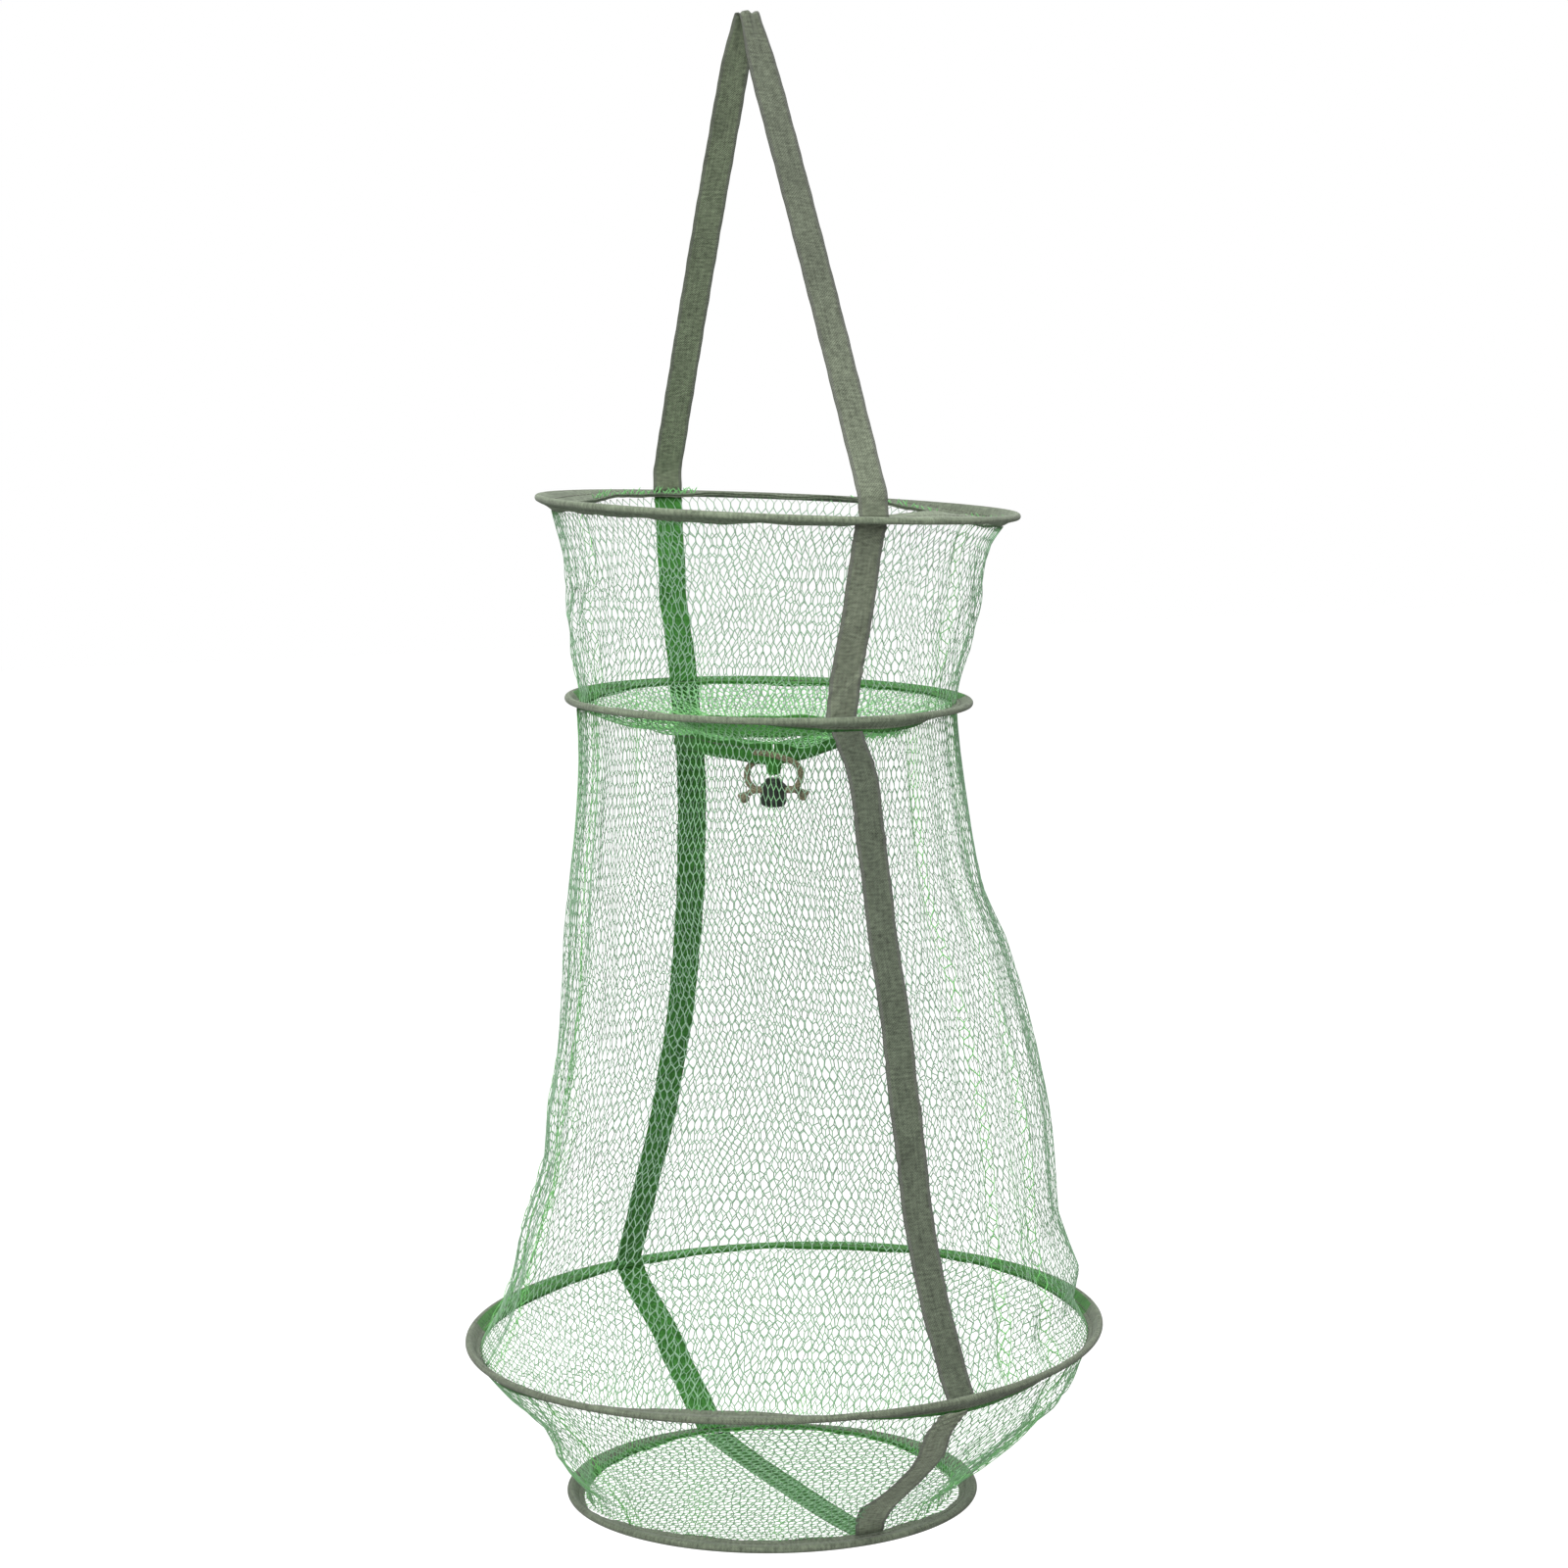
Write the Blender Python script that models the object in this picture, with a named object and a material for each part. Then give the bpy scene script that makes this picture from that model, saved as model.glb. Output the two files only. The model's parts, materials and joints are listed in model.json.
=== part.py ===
"""A hanging mesh fish bag that folds flat.

Four wire hoops, each bound in folded tape, are joined by sleeves of netting. A funnel of
netting hangs inside the second hoop and ends in a hem with a drawstring and a cord lock.
Tape straps run down the front (+X) and the back (-X) and cross under the bottom, and the
same tape forms the carrying handle.

Metres, +Z up. The origin is the inside of the handle's top, where the bag hangs.
"""

import math
from collections import namedtuple

import bmesh
import bpy
import numpy as np

# Fits
GAP = 0.0003
HINGE_GAP = 0.0006

# Tape and netting
TAPE_WIDTH = 0.0165
TAPE_THICKNESS = 0.0009
BINDING_TAPE = 0.0007
NET_THICKNESS = 0.0010
STITCH_MARGIN = 0.0015

# Openings in the sleeves: wide ones that stand in for the netting's fine meshes. LINES are
# the zigzag lines of strands in each sleeve, and SLANT is the share of an opening's pitch
# that a slanting strand comes down, the rest being upright.
UPPER_LINES = 2
MAIN_LINES = 8
LOWER_LINES = 2
STRAND_WIDTH = 0.0030
SLANT = 0.52

# Handle
HANDLE_HEIGHT = 0.245
LOOP_FLAT = 0.006
LOOP_BEND_RADIUS = 0.003

# Hoops: outer radius over the binding
MOUTH_RADIUS = 0.1235
THROAT_RADIUS = 0.1045
BELLY_RADIUS = 0.1660
BOTTOM_RADIUS = 0.1075
WIRE_RADIUS = 0.00125

# Heights of the three folding sections
UPPER_HEIGHT = 0.098
MAIN_HEIGHT = 0.3285
LOWER_HEIGHT = 0.0845

# Binding lips: length inward from the wire's centre, and how far they droop
MOUTH_LIP = 0.0105
HOOP_LIP = 0.0085
MOUTH_DROOP_DEG = 30.0
THROAT_DROOP_DEG = 8.0

# How the hoops hang: sideways offset of each centre, and its lean about the strap line
MOUTH_SWAY = 0.0170
THROAT_SWAY = 0.0120
BELLY_SWAY = 0.0205
BOTTOM_SWAY = 0.0137
MOUTH_LEAN_DEG = -2.5
THROAT_LEAN_DEG = -0.8
BELLY_LEAN_DEG = 1.9
BOTTOM_LEAN_DEG = 0.4

# Where the straps cross each hoop, as angles round it from +X
MOUTH_FRONT_DEG = -1.5
MOUTH_BACK_DEG = 185.5
THROAT_FRONT_DEG = -4.0
THROAT_BACK_DEG = 183.0
BELLY_FRONT_DEG = 7.0
BELLY_BACK_DEG = 187.0
BOTTOM_FRONT_DEG = 6.5
BOTTOM_BACK_DEG = 173.5

# Shape of the net between the hoops: how far it swells (or draws in, where negative), how
# evenly over its height, and how far and from which share of its height it hangs to +Y
UPPER_SWELL = -0.0025
MAIN_SWELL = -0.0075
LOWER_SWELL = 0.0050
DRAWN_IN_POWER = 4
BULGED_POWER = 2
MAIN_HANG = 0.0125
MAIN_HANG_START = 0.22
LOWER_HANG = 0.0050

# Throat: hem, its opening and the drawstring
HEM_RADIUS = 0.0490
HEM_DEPTH = 0.0250
HEM_LIP = 0.0090
HEM_OPENING_DEG = 26.0
EXIT_DEG = -22.0
CORD_DIAMETER = 0.0032
KNOT_RADIUS = 0.0028

# Cord lock: material beside, above and below the two cords that run through it
LOCK_SIDE = 0.0028
LOCK_WALL = 0.0017
LOCK_FLOOR = 0.0009
LOCK_BRIDGE = 0.0015
LOCK_ROUND = 0.0014
LOCK_BASE_ROUND = 0.0027
BUTTON_PROUD = 0.0024
BUTTON_WEB = 0.0022
BUTTON_ROUND = 0.0014
BUTTON_TRAVEL = 0.0012
SPRING_LENGTH = 0.0029
SPRING_WIRE = 0.0004
SPRING_TURNS = 3

# Mesh density
RING_STEPS = 36
FUNNEL_ROWS = 4
BEND_STEPS = 5
LEG_STEPS = 3
TONGUE_TURNS_DEG = (25, 45, 60, 72, 82)
LOCK_STEPS = 24
KNOT_STEPS = 12
SPRING_STEPS = 10
ROUTE_STEPS = 24

TAPE_COLOUR = (0.140, 0.165, 0.108)
NET_COLOUR = (0.240, 0.610, 0.290)
STEEL_COLOUR = (0.300, 0.300, 0.300)
CORD_COLOUR = (0.300, 0.255, 0.140)
LOCK_COLOUR = (0.010, 0.017, 0.011)

CORD_RADIUS = CORD_DIAMETER / 2
# A six-sided channel keeps the gap across its flats
HEXAGON_FLAT = math.cos(math.radians(30))
WIRE_CHANNEL = WIRE_RADIUS + GAP / HEXAGON_FLAT
CORD_CHANNEL = CORD_RADIUS + GAP / HEXAGON_FLAT
WIRE_NOSE = WIRE_CHANNEL + BINDING_TAPE / HEXAGON_FLAT
CORD_NOSE = CORD_CHANNEL + BINDING_TAPE / HEXAGON_FLAT
LIP_HALF = GAP + BINDING_TAPE

# The slot for the two cords, and the lock's own sizes, measured from the cords' centre
TAIL_SIDE = CORD_RADIUS + GAP
SLOT_HALF = CORD_RADIUS + GAP
SLOT_WIDTH = 2 * (TAIL_SIDE + SLOT_HALF)
LOCK_RADIUS = SLOT_WIDTH / 2 + LOCK_SIDE
BORE_RADIUS = LOCK_RADIUS - LOCK_WALL
LOCK_TOP = SLOT_HALF + LOCK_BRIDGE
BUTTON_TOP = LOCK_TOP + BUTTON_PROUD
BUTTON_END = -SLOT_HALF - BUTTON_WEB
BORE_FLOOR = BUTTON_END - 2 * GAP - SPRING_LENGTH
LOCK_END = BORE_FLOOR - LOCK_FLOOR

# Routes of the two tails as (towards its own side, outward, up) from the middle of the
# hem's opening, in metres, after a straight start at the hem's far end. Each crosses the
# opening, loops round on its own side and runs back through the lock.
CORD_DROP = 0.0182
RIGHT_ROUTE = [
    (-0.0035, 0.0008, -0.0002),
    (0.0000, 0.0020, -0.0006),
    (0.0035, 0.0029, -0.0013),
    (0.0070, 0.0034, -0.0023),
    (0.0120, 0.0034, -0.0039),
    (0.0156, 0.0031, -0.0069),
    (0.0169, 0.0028, -0.0108),
    (0.0158, 0.0024, -0.0147),
    (0.0130, 0.0020, -0.0173),
    (0.0095, TAIL_SIDE, -CORD_DROP),
    (0.0050, TAIL_SIDE, -CORD_DROP),
    (0.0000, TAIL_SIDE, -CORD_DROP),
    (-0.0050, TAIL_SIDE, -CORD_DROP),
    (-0.0085, TAIL_SIDE, -CORD_DROP),
    (-0.0117, 0.0023, -0.0187),
    (-0.0146, 0.0033, -0.0198),
]
LEFT_ROUTE = [
    (-0.0035, -0.0006, -0.0005),
    (0.0000, -0.0018, -0.0013),
    (0.0035, -0.0029, -0.0024),
    (0.0070, -0.0036, -0.0034),
    (0.0120, -0.0036, -0.0049),
    (0.0153, -0.0032, -0.0075),
    (0.0165, -0.0028, -0.0113),
    (0.0153, -0.0024, -0.0151),
    (0.0127, -0.0020, -0.0174),
    (0.0095, -TAIL_SIDE, -CORD_DROP),
    (0.0050, -TAIL_SIDE, -CORD_DROP),
    (0.0000, -TAIL_SIDE, -CORD_DROP),
    (-0.0050, -TAIL_SIDE, -CORD_DROP),
    (-0.0085, -TAIL_SIDE, -CORD_DROP),
    (-0.0117, -0.0023, -0.0187),
    (-0.0146, -0.0033, -0.0198),
]

Hoop = namedtuple("Hoop", "name radius z sway lean lip droop front back")


def rise(degrees):
    """Height gained for each metre along +Y on a hoop that leans by this angle."""
    return math.tan(math.radians(degrees))


def make_hoops():
    """The four hoops from the top down, with their centres, leans and strap crossings."""
    mouth_z = -HANDLE_HEIGHT
    throat_z = mouth_z - UPPER_HEIGHT
    belly_z = throat_z - MAIN_HEIGHT
    bottom_z = belly_z - LOWER_HEIGHT
    return [
        Hoop("mouth", MOUTH_RADIUS, mouth_z, MOUTH_SWAY, rise(MOUTH_LEAN_DEG), MOUTH_LIP,
             math.radians(MOUTH_DROOP_DEG), math.radians(MOUTH_FRONT_DEG),
             math.radians(MOUTH_BACK_DEG)),
        Hoop("throat", THROAT_RADIUS, throat_z, THROAT_SWAY, rise(THROAT_LEAN_DEG), HOOP_LIP,
             math.radians(THROAT_DROOP_DEG), math.radians(THROAT_FRONT_DEG),
             math.radians(THROAT_BACK_DEG)),
        Hoop("belly", BELLY_RADIUS, belly_z, BELLY_SWAY, rise(BELLY_LEAN_DEG), HOOP_LIP,
             0.0, math.radians(BELLY_FRONT_DEG), math.radians(BELLY_BACK_DEG)),
        Hoop("bottom", BOTTOM_RADIUS, bottom_z, BOTTOM_SWAY, rise(BOTTOM_LEAN_DEG), HOOP_LIP,
             0.0, math.radians(BOTTOM_FRONT_DEG), math.radians(BOTTOM_BACK_DEG)),
    ]


def clear_scene():
    """Remove whatever objects the file already holds."""
    for obj in list(bpy.data.objects):
        bpy.data.objects.remove(obj, do_unlink=True)


def material(name, colour, roughness, metallic=0.0):
    """A Principled material with one colour, roughness and metallic value."""
    mat = bpy.data.materials.new(name)
    mat.use_nodes = True
    shader = mat.node_tree.nodes["Principled BSDF"]
    shader.inputs["Base Color"].default_value = (*colour, 1.0)
    shader.inputs["Roughness"].default_value = roughness
    shader.inputs["Metallic"].default_value = metallic
    return mat


def tape_material(name):
    """Matt olive cloth tape."""
    return material(name, TAPE_COLOUR, 0.85)


def net_material(name):
    """Light green netting thread."""
    return material(name, NET_COLOUR, 0.60)


def steel_material(name):
    """Bright drawn wire."""
    return material(name, STEEL_COLOUR, 0.35, metallic=1.0)


def cord_material(name):
    """Khaki braided cord."""
    return material(name, CORD_COLOUR, 0.80)


def lock_material(name):
    """Dark moulded plastic."""
    return material(name, LOCK_COLOUR, 0.40)


def make_object(name, vertices, faces, mat, smooth_below_deg=40.0):
    """One closed mesh object with outward faces, smooth except at its sharper edges."""
    mesh = bpy.data.meshes.new(name)
    mesh.from_pydata([tuple(map(float, v)) for v in vertices], [], faces)
    work = bmesh.new()
    work.from_mesh(mesh)
    bmesh.ops.recalc_face_normals(work, faces=work.faces)
    work.to_mesh(mesh)
    work.free()
    mesh.materials.append(mat)
    mesh.shade_smooth()
    mesh.set_sharp_from_angle(angle=math.radians(smooth_below_deg))
    obj = bpy.data.objects.new(name, mesh)
    bpy.context.collection.objects.link(obj)
    return obj


def sweep(name, sections, mat, closed):
    """Skin a row of equal sections, each a loop of points, into one solid.

    sections has the shape (stations, points in a loop, 3). A closed sweep joins its last
    section to its first, and an open one gets a flat cap at each end.
    """
    sections = np.asarray(sections, dtype=float)
    stations, points, _ = sections.shape
    faces = []
    for i in range(stations if closed else stations - 1):
        a = i * points
        b = ((i + 1) % stations) * points
        for j in range(points):
            k = (j + 1) % points
            faces.append((a + j, a + k, b + k, b + j))
    if not closed:
        faces.append(tuple(range(points)))
        faces.append(tuple(range((stations - 1) * points, stations * points)))
    return make_object(name, sections.reshape(-1, 3), faces, mat)


def on_hoop(hoop, radius, angle, height):
    """World points from a hoop's own radius, angle and height, on its leaning plane."""
    x = radius * np.cos(angle)
    y = radius * np.sin(angle)
    return np.stack([x, y + hoop.sway, hoop.z + height + hoop.lean * y], axis=-1)


def ring_angles():
    """The angles at which every round piece has its corners."""
    return np.arange(RING_STEPS) * 2 * math.pi / RING_STEPS


def wire_centre_radius(hoop):
    """Radius of the wire's own circle inside the binding."""
    return hoop.radius - WIRE_NOSE


def fold_section(nose, channel, lip):
    """A tape folded over a round core, as points (inward, up) from the core's centre.

    The nose follows a hexagon about the core, and both layers run in to a thin open lip.
    """
    turns = np.radians([90, 150, 210, 270])
    outside = np.stack([nose * np.cos(turns), nose * np.sin(turns)], axis=1)
    inside = np.stack([channel * np.cos(turns), channel * np.sin(turns)], axis=1)[::-1]
    end_below = [[lip, -LIP_HALF], [lip, -GAP]]
    end_above = [[lip, GAP], [lip, LIP_HALF]]
    return np.vstack([outside, end_below, inside, end_above])


def turned(points, angle):
    """Section points turned so that the inward direction drops by this angle."""
    inward = points[:, 0] * math.cos(angle) + points[:, 1] * math.sin(angle)
    up = -points[:, 0] * math.sin(angle) + points[:, 1] * math.cos(angle)
    return np.stack([inward, up], axis=1)


def ring_from_section(name, hoop, centre_radius, centre_height, section, mat, angles=None):
    """Carry a section of (inward, up) points round a hoop, all the way or over some angles."""
    closed = angles is None
    if closed:
        angles = ring_angles()
    radius = centre_radius - section[None, :, 0]
    height = centre_height + section[None, :, 1]
    points = on_hoop(hoop, radius, angles[:, None], height)
    return sweep(name, points, mat, closed)


def hexagon(radius):
    """A six-sided section about its own centre."""
    turns = np.radians([30, 90, 150, 210, 270, 330])
    return np.stack([radius * np.cos(turns), radius * np.sin(turns)], axis=1)


def make_wire(hoop):
    """The closed spring-steel hoop."""
    name = hoop.name + "_wire"
    return ring_from_section(name, hoop, wire_centre_radius(hoop), 0.0,
                             hexagon(WIRE_RADIUS), steel_material(name))


def make_binding(hoop):
    """Tape folded over the wire, its two layers meeting in a lip that points inward."""
    name = hoop.name + "_binding"
    section = turned(fold_section(WIRE_NOSE, WIRE_CHANNEL, hoop.lip), hoop.droop)
    return ring_from_section(name, hoop, wire_centre_radius(hoop), 0.0, section,
                             tape_material(name))


def lip_face(hoop, inset, side):
    """Point just off the binding's upper (side 1) or lower (side -1) face, and its slope.

    inset is measured inward from the wire's centre. The point is (radius, height) on the
    hoop, and the slope is the unit direction along the face, outward, as (radius, height).
    """
    taper = (LIP_HALF - WIRE_NOSE) / hoop.lip
    half = WIRE_NOSE + taper * inset + GAP
    ends = turned(np.array([[inset, side * half], [inset - 1.0, side * (half - taper)]]),
                  hoop.droop)
    start = np.array([wire_centre_radius(hoop) - ends[0, 0], ends[0, 1]])
    along = np.array([ends[0, 0] - ends[1, 0], ends[1, 1] - ends[0, 1]])
    return start, along / np.linalg.norm(along)


def strand_rows(lines):
    """Rows of a sleeve as shares of its height: an edge, each line's tips and sides, an edge.

    An upright strand comes before the first tips, and one after the last sides.
    """
    upright = 1 - SLANT
    tips = np.arange(lines)
    rows = np.concatenate([[-upright], np.stack([tips, tips + SLANT], axis=1).ravel(), [lines]])
    return (rows + upright) / (lines + upright)


class Sleeve:
    """The net surface between two hoops, which its straps follow too.

    middle holds the rows of the profile as (radius, depth below the upper hoop), and
    outward the direction in which each row is thickened. swell moves the middle rows
    outward, and hang moves them towards +Y, from hang_start down.
    """

    def __init__(self, upper, lower, lines, swell, power, hang=0.0, hang_start=0.0):
        self.upper = upper
        self.lower = lower
        self.lines = lines
        top, top_along = lip_face(upper, upper.lip - STITCH_MARGIN, -1)
        end, end_along = lip_face(lower, lower.lip - STITCH_MARGIN, 1)
        end[1] += lower.z - upper.z
        self.share = strand_rows(lines)
        self.middle = top + (end - top) * self.share[:, None]
        self.middle[:, 0] += swell * (1 - np.abs(2 * self.share - 1) ** power)
        step = np.gradient(self.middle, self.share, axis=0)
        step /= np.linalg.norm(step, axis=1)[:, None]
        self.outward = np.stack([-step[:, 1], step[:, 0]], axis=1)
        self.outward[0] = self.mitred(top_along, self.outward[0])
        self.outward[-1] = self.mitred(end_along, self.outward[-1])
        below_start = np.clip((self.share - hang_start) / (1 - hang_start), 0, 1)
        self.hang = hang * np.sin(math.pi * below_start) ** 2

    @staticmethod
    def mitred(along, outward):
        """The lip's own direction, lengthened so that the thickness stays as asked."""
        return along / float(np.dot(along, outward))

    def points(self, offset, angle, across=0.0):
        """World points at an offset outside the middle surface, one for each row.

        angle is the direction from the axis, and across shifts a point sideways from it.
        """
        profile = self.middle + self.outward * offset
        x = profile[:, 0] * np.cos(angle) - across * np.sin(angle)
        y = profile[:, 0] * np.sin(angle) + across * np.cos(angle)
        lean = self.upper.lean + (self.lower.lean - self.upper.lean) * self.share
        sway = self.upper.sway + (self.lower.sway - self.upper.sway) * self.share
        z = self.upper.z + profile[:, 1] + lean * y
        return np.stack([x, y + sway + self.hang, z], axis=1)


def tip(line, step):
    """Row and step of a tip, where an upright strand from above parts into two."""
    return 1 + 2 * line, step % RING_STEPS


def side(line, step):
    """Row and step of a side, where two slanting strands meet in an upright one."""
    return 2 + 2 * line, step % RING_STEPS


def net_openings(lines):
    """The six corners of every opening in a sleeve, in turn, as (row, step).

    A line's tips lie at every other step, and the next line's tips are under its sides.
    """
    top, last, end = 0, lines - 1, 2 * lines + 1
    openings = []
    for first in range(0, RING_STEPS, 2):
        over, under = (first + 2) % RING_STEPS, first + last % 2
        openings.append([(top, first), (top, first + 1), (top, over), tip(0, over),
                         side(0, first + 1), tip(0, first)])
        for line in range(last):
            step = first + line % 2
            openings.append([tip(line, step), side(line, step + 1), tip(line + 1, step + 1),
                             side(line + 1, step), tip(line + 1, step - 1),
                             side(line, step - 1)])
        openings.append([tip(last, under), side(last, under + 1),
                         (end, (under + 1) % RING_STEPS), (end, under),
                         (end, (under - 1) % RING_STEPS), side(last, under - 1)])
    return openings


def drawn_in(corners, width):
    """An opening's corners moved in from its sides by a width.

    Where two sides meet whose normals into the opening are n1 and n2, the corner moves by
    width (n1 + n2) / (1 + n1 . n2).
    """
    side_runs = corners - np.roll(corners, 1, axis=0)
    facing = np.cross(corners, np.roll(corners, -1, axis=0)).sum(axis=0)
    normals = np.cross(facing, side_runs)
    normals /= np.linalg.norm(normals, axis=1)[:, None]
    after = np.roll(normals, -1, axis=0)
    meeting = 1 + np.sum(normals * after, axis=1)[:, None]
    return corners + width * (normals + after) / meeting


def make_sleeve(name, sleeve):
    """The net: strands between six-sided openings, and a sewn edge at both ends.

    A strand is thickest along its middle, and thins to an edge at the openings beside it.
    """
    middle, outer, inner = (
        np.stack([sleeve.points(offset, angle) for angle in ring_angles()], axis=1)
        for offset in (0.0, NET_THICKNESS / 2, -NET_THICKNESS / 2))
    openings = net_openings(sleeve.lines)
    corners = sorted({corner for opening in openings for corner in opening})
    number = {corner: i for i, corner in enumerate(corners)}
    count = len(corners)
    vertices = [outer[corner] for corner in corners] + [inner[corner] for corner in corners]
    faces = []
    for opening in openings:
        start = len(vertices)
        vertices.extend(drawn_in(np.array([middle[corner] for corner in opening]),
                                 STRAND_WIDTH / 2))
        for k, corner in enumerate(opening):
            m = (k + 1) % len(opening)
            a, b = number[corner], number[opening[m]]
            faces.append((a, b, start + m, start + k))
            faces.append((count + b, count + a, start + k, start + m))
    for row in (0, len(sleeve.share) - 1):
        for step in range(RING_STEPS):
            a, b = number[row, step], number[row, (step + 1) % RING_STEPS]
            faces.append((a, b, count + b, count + a))
    return make_object(name, vertices, faces, net_material(name))


def make_side_strap(name, sleeve, top_angle, end_angle):
    """A tape laid on the outside of a sleeve, from one hoop to the next."""
    angle = top_angle + (end_angle - top_angle) * sleeve.share
    inner = NET_THICKNESS / 2 + GAP
    outer = inner + TAPE_THICKNESS
    half = TAPE_WIDTH / 2
    corners = [sleeve.points(inner, angle, -half), sleeve.points(outer, angle, -half),
               sleeve.points(outer, angle, half), sleeve.points(inner, angle, half)]
    return sweep(name, np.stack(corners, axis=1), tape_material(name), closed=False)


def make_funnel(hoop):
    """The throat's funnel of netting, from the hoop's lip in and down to the hem.

    Its top edge is cut plumb to face the lip, and its lower edge level to face the hem.
    """
    half = NET_THICKNESS / 2
    lip_end = turned(np.array([[hoop.lip + GAP, 0.0]]), hoop.droop)[0]
    start = np.array([wire_centre_radius(hoop) - lip_end[0], lip_end[1]])
    end = np.array([HEM_RADIUS - CORD_NOSE, hem_height() + HEM_LIP + GAP])
    middle = start + (end - start) * np.linspace(0, 1, FUNNEL_ROWS)[:, None]
    step = (end - start) / np.linalg.norm(end - start)
    normal = np.array([-step[1], step[0]])
    offset = np.repeat(normal[None] * half, FUNNEL_ROWS, axis=0)
    offset[0] = [0.0, half / normal[1]]
    offset[-1] = [half / normal[0], 0.0]
    outline = np.vstack([middle + offset, (middle - offset)[::-1]])
    section = np.stack([-outline[:, 0], outline[:, 1]], axis=1)
    return ring_from_section("throat_net", hoop, 0.0, 0.0, section, net_material("throat_net"))


def hem_height():
    """Height of the drawstring's centre in the hem, from the throat hoop."""
    return CORD_NOSE - HEM_DEPTH


def hem_angles():
    """The angles that the hem and the drawstring cover, all but the opening."""
    start = EXIT_DEG + HEM_OPENING_DEG / 2
    end = EXIT_DEG + 360 - HEM_OPENING_DEG / 2
    return np.radians(np.linspace(start, end, RING_STEPS))


def make_hem(hoop):
    """Tape folded up over the drawstring, with its lip holding the funnel's edge."""
    section = turned(fold_section(CORD_NOSE, CORD_CHANNEL, HEM_LIP), -math.pi / 2)
    return ring_from_section("throat_collar", hoop, HEM_RADIUS - CORD_NOSE, hem_height(),
                             section, tape_material("throat_collar"), hem_angles())


def make_drawstring(hoop):
    """The drawstring where it lies inside the hem."""
    return ring_from_section("drawstring", hoop, HEM_RADIUS - CORD_NOSE, hem_height(),
                             hexagon(CORD_RADIUS), cord_material("drawstring"), hem_angles())


def exit_frame(hoop):
    """Origin and directions (right, outward, up) at the middle of the hem's opening."""
    angle = math.radians(EXIT_DEG)
    origin = on_hoop(hoop, HEM_RADIUS - CORD_NOSE, np.array(angle), hem_height())
    right = np.array([-math.sin(angle), math.cos(angle), 0.0])
    outward = np.array([math.cos(angle), math.sin(angle), 0.0])
    up = np.array([0.0, 0.0, 1.0])
    return origin, np.stack([right, outward, up])


def in_exit_frame(hoop, points):
    """World points from (right, outward, up) distances at the hem's opening."""
    origin, axes = exit_frame(hoop)
    return origin + np.asarray(points, dtype=float) @ axes


def smooth_route(points, spacing):
    """Points at even steps along a smooth curve through the given ones (Catmull-Rom)."""
    points = np.asarray(points, dtype=float)
    padded = np.vstack([2 * points[0] - points[1], points, 2 * points[-1] - points[-2]])
    fine = []
    for i in range(1, len(padded) - 2):
        p0, p1, p2, p3 = padded[i - 1:i + 3]
        for t in np.linspace(0, 1, ROUTE_STEPS, endpoint=False):
            fine.append(0.5 * (2 * p1 + (p2 - p0) * t + (2 * p0 - 5 * p1 + 4 * p2 - p3) * t ** 2
                               + (3 * p1 - p0 - 3 * p2 + p3) * t ** 3))
    fine.append(points[-1])
    fine = np.array(fine)
    length = np.concatenate([[0], np.cumsum(np.linalg.norm(np.diff(fine, axis=0), axis=1))])
    count = max(2, round(length[-1] / spacing))
    wanted = np.linspace(0, length[-1], count + 1)
    return np.stack([np.interp(wanted, length, fine[:, k]) for k in range(3)], axis=1)


def tail_points(hoop, side, route):
    """World points of one tail, on the right (side 1) or the left (side -1).

    It starts square to the drawstring's end in the hem, and runs straight for a diameter.
    """
    half = math.radians(HEM_OPENING_DEG / 2)
    ring = HEM_RADIUS - CORD_NOSE
    end = np.array([-ring * math.sin(half), -ring * (1 - math.cos(half)), 0.0])
    along = np.array([math.cos(half), math.sin(half), 0.0])
    start = [end + along * GAP, end + along * (GAP + CORD_DIAMETER)]
    points = np.vstack([start, route]) * (side, 1, 1)
    return in_exit_frame(hoop, smooth_route(points, CORD_DIAMETER))


def make_round_cord(name, points, radius, resolution, mat):
    """A round cord or wire along the points: a curve with a bevel and filled caps."""
    curve = bpy.data.curves.new(name, "CURVE")
    curve.dimensions = "3D"
    curve.bevel_depth = radius
    curve.bevel_resolution = resolution
    curve.use_fill_caps = True
    spline = curve.splines.new("POLY")
    spline.points.add(len(points) - 1)
    for target, point in zip(spline.points, points):
        target.co = (*map(float, point), 1.0)
    curve.materials.append(mat)
    obj = bpy.data.objects.new(name, curve)
    bpy.context.collection.objects.link(obj)
    return obj


def make_knot(name, points):
    """The stopper knot just past a tail's end, drawn tight into a rounded lump."""
    along = points[-1] - points[-2]
    along /= np.linalg.norm(along)
    centre = points[-1] + along * (KNOT_RADIUS + GAP)
    bpy.ops.mesh.primitive_uv_sphere_add(segments=KNOT_STEPS, ring_count=KNOT_STEPS // 2,
                                         radius=KNOT_RADIUS, location=centre)
    knot = bpy.context.object
    knot.name = name
    knot.data.name = name
    knot.data.materials.append(cord_material(name))
    knot.data.shade_smooth()
    return knot


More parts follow.
